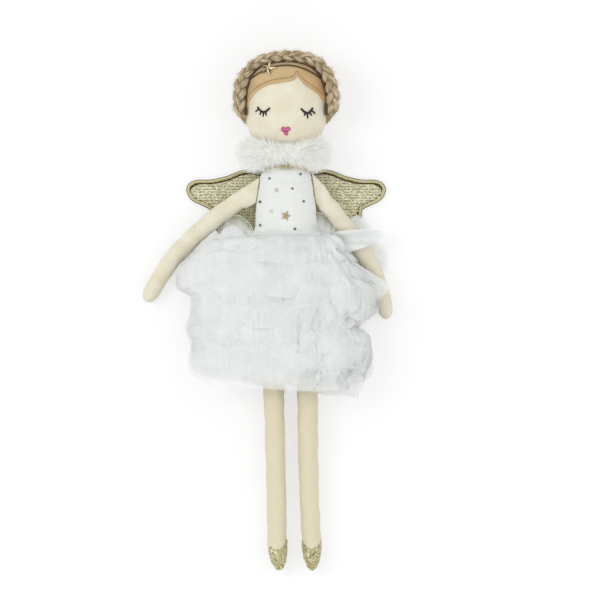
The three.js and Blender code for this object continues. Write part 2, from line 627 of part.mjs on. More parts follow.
// Arms: each hangs from a strip in the side seam, lies over the wing and comes down to the surface
function addArm(name, sideAngle, out, drop, bends) {
  const sideSign = Math.cos(sideAngle);
  const seamTop = torso.at(0, bodyPlace(SHOULDER_HEIGHT - 4), sideAngle);
  const seamBottom = torso.at(0, bodyPlace(SHOULDER_HEIGHT - 4 - 2 * ARM_ROOT_HALF_WIDTH), sideAngle);
  const down = seamBottom.clone().sub(seamTop).normalize();
  const away = new THREE.Vector3().crossVectors(down, Z).normalize();
  away.multiplyScalar(Math.sign(away.x) * sideSign);
  const seamMiddle = seamTop.clone().lerp(seamBottom, 0.5);
  const hinge = seamMiddle.clone().addScaledVector(away, HINGE_REACH);
  const root = hinge.clone().addScaledVector(away, HINGE_EDGE);
  const overWing = WING_THICK + REST_GAP + ARM_HALF_DEPTH;
  const handHeight = HAND_HALF_WIDTH + SURFACE_GAP;
  const heights = [mix(root.z, overWing, 0.75), overWing, mix(overWing, handHeight, 0.7), handHeight];
  const curve = new THREE.CatmullRomCurve3(
    [root, ...bends.map(([x, y], i) => new THREE.Vector3(root.x + sideSign * x * out, root.y - y * drop, heights[i]))],
    false,
    "centripetal",
  );
  const length = curve.getLength();
  const form = stuffedForm({
    length,
    rounding: 1.3 * HAND_HALF_WIDTH,
    line: (u) => curve.getPointAt(u),
    seam: down.clone().multiplyScalar(sideSign),
    halfWidth: profile([
      [0, ARM_ROOT_HALF_WIDTH],
      [0.16 * length, UPPER_ARM_HALF_WIDTH],
      [0.55 * length, FOREARM_HALF_WIDTH],
      [0.86 * length, 1.1 * HAND_HALF_WIDTH],
      [length, HAND_HALF_WIDTH],
    ]),
    front: profile([[0, SEAM_HALF_DEPTH], [0.2 * length, ARM_HALF_DEPTH], [length, ARM_HALF_DEPTH]]),
    back: profile([[0, SEAM_HALF_DEPTH], [0.2 * length, ARM_HALF_DEPTH], [length, HAND_HALF_WIDTH]]),
  });
  const spots = places(form, 0, 9, 4);
  addPiece(`${name}_front`, panel(form, FRONT, 0, SKIN, spots, 5), "muslin");
  addPiece(`${name}_back`, panel(form, BACK, 0, SKIN, spots, 5), "muslin");
  addPiece(`${name}_stuffing`, stuffing(form, spots.slice(1), 5), "fibre");
  const stripReach = HINGE_REACH - SEAM_GAP + HINGE_TAIL;
  const strip = new THREE.BoxGeometry(stripReach, 2 * ARM_ROOT_HALF_WIDTH - 2, STRIP);
  strip.rotateZ(Math.atan2(away.y, away.x));
  const stripMiddle = seamMiddle.clone().addScaledVector(away, SEAM_GAP + stripReach / 2);
  strip.translate(stripMiddle.x, stripMiddle.y, stripMiddle.z);
  addPiece(name.replace("arm", "shoulder_seam"), strip, "cotton");
  return { hinge, axis: down.clone().multiplyScalar(sideSign) };
}
const armRight = addArm("arm_right", Math.PI, ARM_RIGHT_OUT, ARM_RIGHT_DROP, [
  [0.263, 0.155],
  [0.521, 0.371],
  [0.793, 0.658],
  [1, 1],
]);
const armLeft = addArm("arm_left", 0, ARM_LEFT_OUT, ARM_LEFT_DROP, [
  [0.38, 0.262],
  [0.681, 0.507],
  [0.846, 0.709],
  [1, 1],
]);

// Legs: each hangs from a strip in the bottom seam and slopes down to the surface
const hipHinge = new THREE.Vector3(0, HIP_Y - HINGE_REACH, AXIS_Z);
function addLeg(name, rootX, bends) {
  const root = new THREE.Vector3(rootX, hipHinge.y - HINGE_EDGE, AXIS_Z);
  const ankle = LEG_HALF_DEPTH + SURFACE_GAP;
  const heights = [mix(AXIS_Z, ankle, 0.45), mix(AXIS_Z, ankle, 0.82), ankle, ankle];
  const curve = new THREE.CatmullRomCurve3(
    [root, ...bends.map(([x, share], i) => new THREE.Vector3(x, root.y - share * LEG_LENGTH, heights[i]))],
    false,
    "centripetal",
  );
  const length = curve.getLength();
  const form = stuffedForm({
    length,
    rounding: 2.6 * CALF_HALF_WIDTH,
    line: (u) => curve.getPointAt(u),
    seam: new THREE.Vector3(-1, 0, 0),
    halfWidth: profile([
      [0, LEG_ROOT_HALF_WIDTH],
      [0.09 * length, THIGH_HALF_WIDTH],
      [0.35 * length, mix(THIGH_HALF_WIDTH, CALF_HALF_WIDTH, 0.6)],
      [0.65 * length, CALF_HALF_WIDTH],
      [length, 0.92 * CALF_HALF_WIDTH],
    ]),
    front: profile([[0, SEAM_HALF_DEPTH], [0.1 * length, LEG_HALF_DEPTH], [length, LEG_HALF_DEPTH]]),
    back: profile([[0, SEAM_HALF_DEPTH], [0.1 * length, LEG_HALF_DEPTH], [length, LEG_HALF_DEPTH]]),
  });
  const topLine = (angle) => 1 - (SHOE_LENGTH - SHOE_DIP * Math.max(Math.sin(angle), 0) ** 2) / length;
  const skinSpots = range(9).map((i) => (angle) => (topLine(angle) - SEAM_GAP / length) * (i / 8) ** 1.3);
  addPiece(`${name}_front`, panel(form, FRONT, 0, SKIN, skinSpots, 6), "muslin");
  addPiece(`${name}_back`, panel(form, BACK, 0, SKIN, skinSpots, 6), "muslin");
  const toe = [0, 0.3, 0.5, 0.7, 0.88, 1];
  const shoeSpots = toe.map((share) => (angle) => mix(topLine(angle), 1, share));
  addPiece(name.replace("leg", "shoe"), bandRound(form, 0, SKIN, shoeSpots, 6), "glitter");
  addPiece(`${name}_stuffing`, stuffing(form, [...skinSpots.slice(1), ...shoeSpots.slice(1)], 6), "fibre");
}
addLeg("leg_right", -15.4, [
  [-12, 0.361],
  [-9.4, 0.703],
  [-8.4, 0.895],
  [-6.4, 1],
]);
addLeg("leg_left", 16.6, [
  [20.4, 0.361],
  [22.2, 0.703],
  [24.6, 0.895],
  [25.4, 1],
]);
const hipStripReach = HINGE_REACH - SEAM_GAP + HINGE_TAIL;
const hipStrip = new THREE.BoxGeometry(2 * SEAT_HALF_WIDTH - 4, hipStripReach, STRIP);
hipStrip.translate(0, HIP_Y - SEAM_GAP - hipStripReach / 2, AXIS_Z);
addPiece("hip_seam", hipStrip, "cotton");

// Wings: each is a flat back panel, wadding and a crowned front panel, with piping round its edge
const wingHinge = WING_ROOT + WING_HINGE_GAP;
const wingStart = wingHinge + HINGE_EDGE;
const wingCurve = new THREE.CatmullRomCurve3(
  [
    [0, 0.82],
    [0.14, 0.93],
    [0.28, 1],
    [0.4, 0.93],
    [0.52, 0.79],
    [0.64, 0.7],
    [0.76, 0.65],
    [0.9, 0.64],
    [0.97, 0.55],
    [1, 0.4],
    [0.985, 0.22],
    [0.94, 0.06],
    [0.84, -0.07],
    [0.765, -0.14],
    [0.726, -0.22],
    [0.712, -0.42],
    [0.65, -0.67],
    [0.51, -0.9],
    [0.35, -1],
    [0.17, -0.92],
    [0, -0.56],
  ].map(([share, height]) => {
    const x = mix(wingStart, WING_REACH, share);
    return new THREE.Vector3(x, height > 0 ? height * WING_RISE : height * WING_FALL, 0);
  }),
  false,
  "centripetal",
);
const WING_EDGE_STEPS = 44;
const wingShares = range(WING_EDGE_STEPS + 1).map((i) => i / WING_EDGE_STEPS);
const wingPoints = wingShares.map((share) => wingCurve.getPointAt(share));
const wingCentre = new THREE.Vector3(mix(wingStart, WING_REACH, 0.42), 0, 0);
function addWing(name, sideSign) {
  const mirrored = (p, z) => new THREE.Vector3(sideSign * p.x, p.y, z);
  const inset = (distance) =>
    wingShares.map((share, i) => {
      const along = wingCurve.getTangentAt(share);
      const point = new THREE.Vector3(along.y, -along.x, 0).multiplyScalar(distance).add(wingPoints[i]);
      const atRoot = share === 0 || share === 1;
      return atRoot ? point.addScaledVector(along, (wingStart - point.x) / along.x) : point;
    });
  const rim = PIPING_RADIUS + 2 * SEAM_GAP;
  const atRoot = (p) => clamp01((p.x - wingStart) / (2 * WING_ROOT));
  const crown = (p, share, top) => {
    const full = mix(WING_EDGE_THICK, top, 1 - share ** 2.4);
    return mix(Math.min(WING_ROOT_THICK, full), full, ease(atRoot(p)));
  };
  const shares = [1, 0.8, 0.45, 0];
  const layer = (edge, lift, top) =>
    shares.map((share) =>
      edge.map((p) => {
        const at = wingCentre.clone().lerp(p, share);
        return mirrored(at, crown(at, share, top) - lift);
      }),
    );
  const flat = (edge, z) => [edge.map((p) => mirrored(p, z)), edge.map(() => mirrored(wingCentre, z))];
  const edge = inset(rim);
  addPiece(`${name}_front`, sheet(layer(edge, 0, WING_THICK), layer(edge, WING_PANEL, WING_THICK), true), "glitter");
  addPiece(`${name}_back`, sheet(flat(edge, WING_PANEL), flat(edge, 0), true), "glitter");
  const padEdge = inset(rim + PIPING_RADIUS);
  const padTop = layer(padEdge, WING_PANEL + SEAM_GAP, WING_THICK - 0.2);
  const padBase = padTop.map((row) => row.map((p) => new THREE.Vector3(p.x, p.y, WING_PANEL + SEAM_GAP)));
  const padTopSafe = padTop.map((row) => row.map((p) => p.setZ(Math.max(p.z, WING_PANEL + SEAM_GAP + 0.2))));
  addPiece(`${name}_padding`, sheet(padTopSafe, padBase, true), "wadding");
  const pipingLine = wingPoints.map((p) => mirrored(p, PIPING_RADIUS + SURFACE_GAP));
  addPiece(`${name}_piping`, tube(pipingLine, Z, PIPING_RADIUS, 6), "piping");
}
addWing("wing_right", -1);
addWing("wing_left", 1);
const wingTail = wingHinge + HINGE_TAIL;
const tailLow = 0.5 * (WING_ROOT_THICK - STRIP);
const tailHigh = tailLow + STRIP;
const middleShape = new THREE.Shape();
middleShape.moveTo(-WING_ROOT, 0);
middleShape.lineTo(WING_ROOT, 0);
middleShape.lineTo(WING_ROOT, tailLow);
middleShape.lineTo(wingTail, tailLow);
middleShape.lineTo(wingTail, tailHigh);
middleShape.lineTo(WING_ROOT, tailHigh);
middleShape.lineTo(WING_ROOT, WING_ROOT_THICK);
middleShape.bezierCurveTo(0.7 * WING_ROOT, WING_THICK, 0.4 * WING_ROOT, WING_THICK, 0, WING_THICK);
middleShape.bezierCurveTo(-0.4 * WING_ROOT, WING_THICK, -0.7 * WING_ROOT, WING_THICK, -WING_ROOT, WING_ROOT_THICK);
middleShape.lineTo(-WING_ROOT, tailHigh);
middleShape.lineTo(-wingTail, tailHigh);
middleShape.lineTo(-wingTail, tailLow);
middleShape.lineTo(-WING_ROOT, tailLow);
const middle = thickened(middleShape, 2 * WING_ROOT_HALF_LENGTH, 6);
middle.rotateX(Math.PI / 2).translate(0, WING_ROOT_HALF_LENGTH, 0);
addPiece("wing_middle", middle, "glitter");

// Skirt: a waistband over the bodice, a lining that hangs from it and three gathered tiers
const bandInset = -REST_GAP - 0.5 * SEAM_GAP;
addPiece("waistband", bandRound(torso, bandInset - BAND, bandInset, bandSpots, 8), "cotton");

// The lining's outer surface at each level: half width, front height and back height
const liningGap = REST_GAP + LINING;
const liningWidth = profile([
  [-LINING_TOP_Y, HIP_HALF_WIDTH + liningGap],
  [-LINING_TOP_Y + 25, HIP_HALF_WIDTH + liningGap + 1],
  [-LINING_HEM_Y, LINING_HEM_HALF_WIDTH],
]);
const hipFront = Math.max(HIP_FRONT_DEPTH, WAIST_FRONT_DEPTH);
const hipBack = Math.max(HIP_BACK_DEPTH, WAIST_BACK_DEPTH);
const liningFront = profile([
  [-LINING_TOP_Y, AXIS_Z + hipFront + liningGap],
  [-LINING_TOP_Y + 30, AXIS_Z + hipFront + liningGap],
  [-LINING_HEM_Y, AXIS_Z + 0.85 * hipFront],
]);
const liningBack = profile([
  [-LINING_TOP_Y, AXIS_Z - hipBack - liningGap],
  [-LINING_TOP_Y + 18, AXIS_Z - hipBack - liningGap],
  [-LINING_TOP_Y + 40, 0.28 * AXIS_Z],
  [-LINING_HEM_Y, 0.19 * AXIS_Z],
]);
function skirtPoint(right, left, middleZ, frontZ, backZ, y, angle, fold) {
  const across = Math.cos(angle);
  const rise = Math.sin(angle);
  const grown = 1 + fold / ((right + left) / 2);
  const x = across * (across > 0 ? left : right) * grown;
  const z = rise > 0 ? middleZ + (frontZ - middleZ) * rise * grown : middleZ - (middleZ - backZ) * Math.sqrt(-rise);
  return new THREE.Vector3(x, y, z);
}
function liningPoint(inset, y, angle) {
  const wide = liningWidth(-y) - inset;
  const middleZ = mix(AXIS_Z, 0.7 * AXIS_Z, (y - LINING_TOP_Y) / (LINING_HEM_Y - LINING_TOP_Y));
  return skirtPoint(wide, wide, middleZ, liningFront(-y) - inset, liningBack(-y) + inset, y, angle, 0);
}
const liningLevels = [LINING_TOP_Y, mix(LINING_TOP_Y, TIERS[1].top, 0.5), TIERS[1].top, TIERS[2].top, LINING_HEM_Y];
const liningGrid = (inset) => liningLevels.map((y) => turnsOf(TIER_COLUMNS).map((a) => liningPoint(inset, y, a)));
addPiece("skirt_lining", sheet(liningGrid(0), liningGrid(LINING), true), "cotton");

function addTier({ name, top, hem, tilt, right, left, front }, index) {
  const onWaist = index === 0;
  const waistReach = BAND - bandInset + 2 * REST_GAP + NET;
  const topWide = onWaist ? WAIST_HALF_WIDTH + waistReach : liningWidth(-top) + SEAM_GAP + NET;
  const topFront = onWaist ? AXIS_Z + WAIST_FRONT_DEPTH + waistReach : liningFront(-top) + SEAM_GAP + NET;
  const topBack = onWaist ? AXIS_Z - WAIST_BACK_DEPTH - waistReach : liningBack(-top) - SEAM_GAP - NET;
  const topMiddle = onWaist ? AXIS_Z : mix(AXIS_Z, 0.7 * AXIS_Z, (top - LINING_TOP_Y) / (LINING_HEM_Y - LINING_TOP_Y));
  const point = (inset, share, angle) => {
    const short = Math.max(1 - share / TIER_WIDEST, 0);
    const past = Math.max((share - TIER_WIDEST) / (1 - TIER_WIDEST), 0);
    const puff = 1 - short ** TIER_PUFF - TIER_TUCK * past * past;
    const fall = ease(share);
    const fold = FOLD_DEPTH * share * Math.cos(FOLD_COUNT * angle) * clamp01(0.5 + 2 * Math.sin(angle));
    return skirtPoint(
      mix(topWide, right, puff) - inset,
      mix(topWide, left, puff) - inset,
      mix(topMiddle, TIER_SIDE_HEIGHT, fall),
      mix(topFront, front, puff) - inset,
      mix(topBack, TIER_BACK_HEIGHT, fall) + inset,
      mix(top, hem - tilt * Math.cos(angle), share),
      angle,
      fold,
    );
  };
  const shares = [0, 0.16, 0.42, 0.7, 1];
  const grid = (inset) => shares.map((share) => turnsOf(TIER_COLUMNS).map((angle) => point(inset, share, angle)));
  addPiece(name, sheet(grid(0), grid(NET), true), "net");
  if (onWaist) {
    addGathers((share, angle) => point(-SEAM_GAP, share, angle));
  }
}
// The net gathered behind the first tier, pressed flat between it and the surface that the doll lies on
function addGathers(underTier) {
  const across = range(7).map((j) => 1.5 * Math.PI + mix(-GATHERS_SPREAD, GATHERS_SPREAD, j / 6));
  const top = range(5).map((i) => across.map((angle) => underTier(mix(GATHERS_TOP, GATHERS_HEM, i / 4), angle)));
  const base = top.map((row) => row.map((p) => new THREE.Vector3(p.x, p.y, SURFACE_GAP)));
  addPiece("skirt_back_gathers", sheet(top, base, false), "net");
}
TIERS.forEach(addTier);

// Joint lines and the mount, in the same frame
part.userData.joints = {
  neck_nod: { at: NECK_PIVOT.toArray(), axis: [1, 0, 0] },
  shoulder_right: { at: armRight.hinge.toArray(), axis: armRight.axis.toArray() },
  shoulder_left: { at: armLeft.hinge.toArray(), axis: armLeft.axis.toArray() },
  hip_right: { at: hipHinge.toArray(), axis: [-1, 0, 0] },
  hip_left: { at: hipHinge.toArray(), axis: [-1, 0, 0] },
  wing_right: { at: [-wingHinge, 0, 0.5 * WING_ROOT_THICK], axis: [0, -1, 0] },
  wing_left: { at: [wingHinge, 0, 0.5 * WING_ROOT_THICK], axis: [0, 1, 0] },
};
part.userData.mounts = { back_rest: { at: [0, 0, 0], axis: [0, 0, -1] } };

export default part;
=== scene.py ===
"""Dresses a cloth angel doll that lies on its back: sewn skins, felt and plaited hair, fur, wings and net.

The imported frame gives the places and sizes. Shapes are worked out in millimetres as numpy grids and written
to the meshes in metres. +X is the doll's own left, +Y runs to the head and +Z points out of the chest.
"""

import json
from collections import namedtuple

import bpy
import numpy as np
from bpy.props import FloatProperty, FloatVectorProperty, IntProperty, PointerProperty
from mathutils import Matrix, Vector


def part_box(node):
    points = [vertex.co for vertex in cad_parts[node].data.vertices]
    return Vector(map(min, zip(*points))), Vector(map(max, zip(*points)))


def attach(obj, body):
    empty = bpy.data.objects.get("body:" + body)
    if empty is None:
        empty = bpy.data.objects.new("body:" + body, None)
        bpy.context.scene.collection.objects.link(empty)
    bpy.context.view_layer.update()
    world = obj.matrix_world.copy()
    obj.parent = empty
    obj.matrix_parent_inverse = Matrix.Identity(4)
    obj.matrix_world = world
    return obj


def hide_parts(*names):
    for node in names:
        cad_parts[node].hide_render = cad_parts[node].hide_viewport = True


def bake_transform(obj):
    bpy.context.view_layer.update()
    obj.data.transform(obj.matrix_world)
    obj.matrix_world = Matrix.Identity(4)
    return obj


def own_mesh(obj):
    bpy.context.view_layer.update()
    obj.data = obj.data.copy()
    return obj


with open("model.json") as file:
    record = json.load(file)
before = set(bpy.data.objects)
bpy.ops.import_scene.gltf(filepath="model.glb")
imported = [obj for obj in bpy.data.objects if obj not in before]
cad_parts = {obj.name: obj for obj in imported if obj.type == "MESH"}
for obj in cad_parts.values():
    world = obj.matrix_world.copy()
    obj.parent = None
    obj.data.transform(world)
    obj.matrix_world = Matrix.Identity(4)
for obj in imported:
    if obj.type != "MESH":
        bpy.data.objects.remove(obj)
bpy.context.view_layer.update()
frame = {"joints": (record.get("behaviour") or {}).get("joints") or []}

bl_info = {
    "name": "Cloth Angel Doll",
    "version": (1, 0, 0),
    "blender": (4, 5, 0),
    "location": "3D View > Sidebar > Doll",
    "description": "Dresses a sewn angel doll with wings and a net skirt round its packed frame",
    "category": "Object",
}

MM = 0.001
FULL_TURN = 2 * np.pi
UP = np.array((0.0, 0.0, 1.0))
ALONG = np.array((0.0, 1.0, 0.0))
SIDES = (("right", -1), ("left", 1))


def box(node):
    """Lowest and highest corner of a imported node, in millimetres."""
    low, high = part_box(node)
    return np.array(low) / MM, np.array(high) / MM


JOINT_AT = {joint["name"]: np.array(joint["pos_m"]) / MM for joint in frame["joints"]}
JOINT_AXIS = {joint["name"]: np.array(joint["axis"]) for joint in frame["joints"]}

# Places that the frame gives
AXIS_Z = JOINT_AT["neck_nod"][2]
HIP_Y = box("bodice_front")[0][1]
BODY_LENGTH = box("bodice_front")[1][1] - HIP_Y
HEAD_BASE = box("head_front")[0][1]
HEAD_LENGTH = box("head_front")[1][1] - HEAD_BASE
HIP_HINGE_Y = JOINT_AT["hip_left"][1]

# Body and head: (distance from the root, size) stations
BODY_HALF_WIDTH = ((0, 31), (31, 34), (57, 30.8), (90, 27.4), (112, 24.2), (119, 18.2), (126, 11), (150, 11))
BODY_FRONT = ((0, 1.3), (11, 8.8), (31, 17.5), (57, 18), (90, 18.5), (112, 15.7), (126, 11), (150, 11))
BODY_BACK = (
    (0, 1.3), (11, 7.8), (31, 15.5), (57, 16), (82, 19.8), (102, 19.8), (116, 14.9), (126, 11), (150, 11),
)
NECK_ROUNDING = 11
HEAD_HALF_WIDTH = ((0, 14), (4, 24.4), (8.7, 31.9), (16.6, 36.6), (31.6, 39.4), (79, 39.4))
HEAD_FRONT = ((0, 14), (4.7, 18.4), (15.8, 23.5), (31.6, 25.5), (79, 25.5))
HEAD_BACK = ((0, 14), (7.9, 18.2), (27.7, 25.4), (79, 25.4))
HEAD_ROUNDING = 0.575 * HEAD_LENGTH
HEAD_POWER = 3

# Sewn skins: lengths of the soft lumps, the groove along the side seams, and the share of a limb over which
# its section turns out of the seam that it is sewn into
LUMP = 21
FINE_LUMP = 8
FINE_LUMP_SHARE = 0.4
SEAM_WIDTH = 0.07
SEAM_DEPTH = 0.45
SEAM_REACH = 0.22

# Creases across the skins: (place along, depth, spread along, slant)
BODICE_CREASES = ((0.42, 0.5, 0.02, 0.01), (0.71, 0.35, 0.02, -0.01))
ARM_CREASES = (
    (0.09, 0.4, 0.02, 0.03), (0.17, 0.45, 0.016, -0.035), (0.36, 0.4, 0.018, 0.05), (0.52, 0.3, 0.015, -0.04),
)
LEG_CREASES = ((0.3, 0.25, 0.02, 0.02), (0.62, 0.2, 0.02, -0.02))

# Foil print on the bodice: dots as (across, height above the bottom seam, radius), and one star
DARK_DOTS = (
    (-15.7, 108.6, 1.25), (13.9, 112.8, 1.3), (-25.2, 86.5, 1.3), (17.1, 86.7, 1.25), (-24.8, 64, 1.2),
    (8.6, 60.3, 1.3), (6.2, 98.9, 1.15),
)
PALE_DOTS = ((-9.3, 97.3, 1.9), (-14.4, 77, 1.9))
DOT_LIFT = 0.55
PRINT_STAR_HEIGHT = 72.8
PRINT_STAR_OUTER = 5.4
PRINT_STAR_INNER = 2.2
PRINT_STAR_TURN = np.radians(72)
PRINT_STAR_LIFT = 0.6

# Felt hair: lift off the head, thickness, and height of the hairline at each share of the way across
FELT_LIFT = 0.6
FELT = 1.2
FELT_TOP = FELT_LIFT + FELT
FELT_WAVE = 0.22
FELT_WAVE_LENGTH = 17
HAIRLINE = (
    (-1, 26), (-0.95, 33), (-0.9, 39), (-0.84, 45.6), (-0.68, 52), (-0.55, 55), (-0.32, 58), (-0.06, 59.5),
    (0.12, 60.4), (0.24, 62.8), (0.315, 66.4), (0.38, 62), (0.48, 57.4), (0.64, 52.8), (0.82, 47), (0.93, 40),
    (0.97, 33), (1, 26),
)
HAIR_BACK_EDGE = 30
HAIR_BACK_DIP = 12
HAIR_STITCH_INSET = 2.7
HAIR_STITCH_RADIUS = 0.36
HAIR_STITCH_PITCH = 1.35

# Plait: its line round the head, the three strands' swing, and what their ends do
PLAIT_OFFSET = 7.6
PLAIT_FORWARD = 11
PLAIT_END = 22
PLAIT_TURNS = 5.5
PLAIT_FULLNESS = ((0, 1.05), (0.17, 1.12), (0.32, 0.82), (0.5, 0.94), (0.7, 1), (0.85, 1.14), (1, 1.05))
PLAIT_THIN_SHIFT = 5
PLAIT_HALF_WIDTH = 3.4
PLAIT_HALF_DEPTH = 2.6
PLAIT_TAPER = 0.1
PLAIT_END_DROP = 9
PLAIT_END_TUCK = 6
PLAIT_END_SWING = 0.45
PLAIT_END_THICKNESS = 0.42
STRAND_RADIUS = 2.6
STRAND_PLIES = 9
STRAND_PITCH = 46
# A dark yarn along the plait's inner side is painted shadow between the plait and the felt
PLAIT_SHADOW_RADIUS = 1.5
PLAIT_SHADOW_LIFT = 0.8
FUZZ_COUNT = 1300
FUZZ_LENGTH = (3, 6.5)
FUZZ_WIDTH = 0.3
FUZZ_ROOT = 0.9
FUZZ_LIFT = 0.38
FUZZ_BEND = 0.18

# Headband and its star: STAR_RISE holds (share of the reach, height) from the back round the rim to the peak
BAND_RADIUS = 0.8
BAND_DROP = 5
BAND_BEND = 0.0105
BAND_HALF_SPAN = 33
STAR_AT = (-17.3, 70.4)
STAR_RADIUS = 8.6
STAR_INNER = 0.36
STAR_RISE = ((0, 0), (0.97, 0), (1, 0.4), (0, 3.2))
STAR_LEAN = 0.6
STAR_TURN = np.radians(-8)

# Face: closed lids and lashes as (across, height above the head's root), lips as (across, height, half sizes)
EYES = {
    "eye_right": (
        ((-26.9, 37.3), (-24.6, 34.2), (-21.4, 32.6), (-18.2, 33.6), (-15.4, 36.3)),
        (((-25.9, 35.6), (-29, 32.9)), ((-23.4, 33.4), (-24.9, 29.9)), ((-21.4, 32.6), (-21.7, 28)),
         ((-19.6, 32.9), (-18.5, 29.1))),
    ),
    "eye_left": (
        ((14.4, 35.6), (17.2, 32.9), (20.4, 31.5), (23, 33), (25.6, 36.5)),
        (((18.4, 32.2), (17.8, 28.8)), ((20.7, 31.6), (20.7, 26.4)), ((22.6, 32.6), (24.5, 29.2)),
         ((24.4, 34.6), (27.8, 31.2))),
    ),
}
EYE_THREAD = 1.05
LASH_THREAD = 0.85 * EYE_THREAD
LIP_LOBES = ((-2.2, 15.1, 2.2, 2.3), (1.7, 15.1, 2.3, 2.3), (-0.3, 14.2, 3, 1.7), (-0.3, 11.5, 2, 2.2))
LIP_EDGE = 0.1
LIP_RISE = 0.95
LIP_ROOT = 0.4
LIP_COLUMNS = 32
LIP_RINGS = 8
# Dark rose lines: the one between the lips is stitched, and those along the top of the upper lip and under the
# lower lip are painted shadow
LIP_LINES = (
    ((-4.1, 14.6), (-3.9, 16.6), (-2.2, 17.6), (-0.3, 16.6), (1.6, 17.7), (3.7, 16.9), (4, 15)),
    ((-3, 14.1), (-0.3, 13.6), (2.6, 14)),
    ((0.4, 10), (1.7, 12)),
)
LIP_LINE_LIFTS = (0.55, 1.1, 0.7)
LIP_LINE_THREAD = 0.5
FACE_DROP = 1.2

# Collar, neck cord and bow. The fur's headings and lengths are shares of a fibre, and it is trimmed above and
# below its outermost line.
COLLAR_X = -2
COLLAR_Y = 46
COLLAR_RING = 29
COLLAR_ROLL = 9
COLLAR_HALF_HEIGHT = 8
COLLAR_FLATTEN = 27 / 43
COLLAR_CHIN_DROP = 1.4
COLLAR_CHIN_THIN = 0.18
FUR_WIDTH = 0.5
FUR_FLOOR = 0.5
FUR_ROLL = 0.62 * np.pi
FUR_RUFFLED = 0.4
FUR_SWIRL = 0.25
FUR_COMBED = 0.9
FUR_TRIM = (0.4, 0.55)
FUR_BESIDE = 1.25
FUR_DROOP = (0, -0.08, -0.1)
CORD_HEIGHT = 118.5
CORD_DIP = 2
CORD_RADIUS = 0.95
CORD_GAP = 0.2
CORD_GROOVE = 0.24
BOW_AT = (0, -0.5, 2.2)
BOW_LOOPS = (6.75, 2.4, 0.9)
BOW_KNOT = (0.7, 1.2, 0.6)
BOW_KNOT_LIFT = 1
BOW_TAIL = ((2, -1.6, 0.4), (3.6, -2.6, -0.4))
BOW_RADIUS = 0.42
BOW_TAIL_RADIUS = 0.5

# Arms: (out from the shoulder, drop, height) of each bend, (rise, half width) of the root, and limb sections
# as (share, size).
ARM_BENDS = {
    "right": ((28, 16.3, 18.5), (55.5, 39.1, 15.4), (84.5, 69.4, 10), (106.5, 105.5, 7.6)),
    "left": ((26.5, 32, 18.5), (47.5, 61.8, 15.4), (59, 86.5, 10), (69.7, 122, 7.6)),
}
ARM_ROOT = {"right": (1.5, 12.5), "left": (4, 15)}
ARM_SET_IN = 1.6
ARM_HALF_WIDTH = ((0.16, 8.8), (0.55, 9), (0.86, 8.1), (1, 7.5))
ARM_HALF_DEPTH = ((0, 1.3), (0.2, 7.6), (1, 7.4))
ARM_ROUNDING = 9.6

# Legs: (across, drop, height) of each bend
LEG_ROOT_X = {"right": -15.4, "left": 16.6}
LEG_SET_IN = 2.4
LEG_SEAM_GAP = 0.9
LEG_BENDS = {
    "right": ((-12, 96, 19.5), (-9.4, 187, 12.8), (-8.4, 238, 9.6), (-6.4, 266, 9.6)),
    "left": ((20.4, 96, 19.5), (22.2, 187, 12.8), (24.6, 238, 9.6), (25.4, 266, 9.6)),
}
LEG_HALF_WIDTH = ((0, 12.6), (0.09, 10.6), (0.35, 10), (0.65, 9.6), (0.9, 9.2), (1, 8.8))
LEG_HALF_DEPTH = ((0, 1.3), (0.1, 9.4), (1, 9.4))
LEG_ROUNDING = 25
SHOE_LENGTH = 29
SHOE_DIP = 8
SHOE_LIFT = 0.4
SHOE_ROOT = 0.5
SHOE_GRAIN = 0.18

# Wings: their edge as shares of the reach, and of the rise above or the fall below the frame's origin
WING_ROOT_X = 11
WING_HINGE_GAP = 0.9
WING_REACH = 95
WING_RISE = 29
WING_FALL = 41
WING_EDGE = (
    (-0.03, 0.8), (0.14, 0.93), (0.28, 1), (0.4, 0.93), (0.52, 0.79), (0.64, 0.7), (0.76, 0.65), (0.9, 0.64),
    (0.97, 0.55), (1, 0.4), (0.985, 0.22), (0.94, 0.06), (0.83, -0.07), (0.75, -0.15), (0.722, -0.2),
    (0.714, -0.27), (0.712, -0.42), (0.65, -0.67), (0.51, -0.9), (0.35, -1), (0.17, -0.92), (-0.03, -0.54),
)
WING_MIDDLE_SHARE = 0.42
WING_THICK = 7.4
WING_EDGE_THICK = 3
WING_ROOT_THICK = 2.4
WING_BACK_LEVEL = 0.3
WING_FULLNESS = 2.4
WING_ROOT_FLAT = 2
WING_ROOT_SLOPE = 22
WING_LUMP = 0.25
WING_LUMP_LENGTH = 18
PUCKER_PITCH = 5
PUCKER_AT = 0.94
PUCKER_WIDTH = 0.035
PUCKER_DEPTH = 0.9
PUCKER_SWING = 0.25
PIPING_RADIUS = 1.2
PIPING_LEVEL = 2.9
# A dark welt below the piping and a dark thread in the ditch inside it are painted shadow
SHADOW_WELT_RADIUS = 1.7
SHADOW_WELT_GAP = 0.05
DITCH_INSET = 2.4
DITCH_DEPTH = 0.6
PILLOW_OVERLAP = 0.6

# Skirt: the lining and the outline as (distance below the frame's origin, size), and the folds of the net
LINING_WIDTH = ((35, 35.2), (60, 36.2), (168, 58))
LINING_FRONT = ((35, 46.8), (65, 46.8), (168, 42.9))
LINING_BACK = ((35, 10.4), (53, 10.4), (75, 7.7), (168, 5.2))
LINING_TOP = -35
LINING_HEM = -168
LINING_LENGTH = LINING_TOP - LINING_HEM
LINING_FOLD = 1.6
LINING_SINK = 0.7
WAIST_Y = -30
SKIRT_RIGHT = (
    (30, 46), (36, 68), (44, 83), (56, 97), (70, 106), (84, 105), (94, 92), (112, 92), (124, 96), (136, 92),
    (160, 93), (172, 85), (190, 70),
)
SKIRT_LEFT = (
    (30, 42), (34, 50), (56, 66), (75, 76), (87, 89), (104, 89), (114, 77), (123, 70), (132, 80), (152, 82),
    (172, 75), (194, 68),
)
SKIRT_FRONT = ((32, 48), (45, 57), (77, 64), (110, 66), (145, 63), (194, 54))
SKIRT_BACK = 1.5
SKIRT_MIDDLE = 9
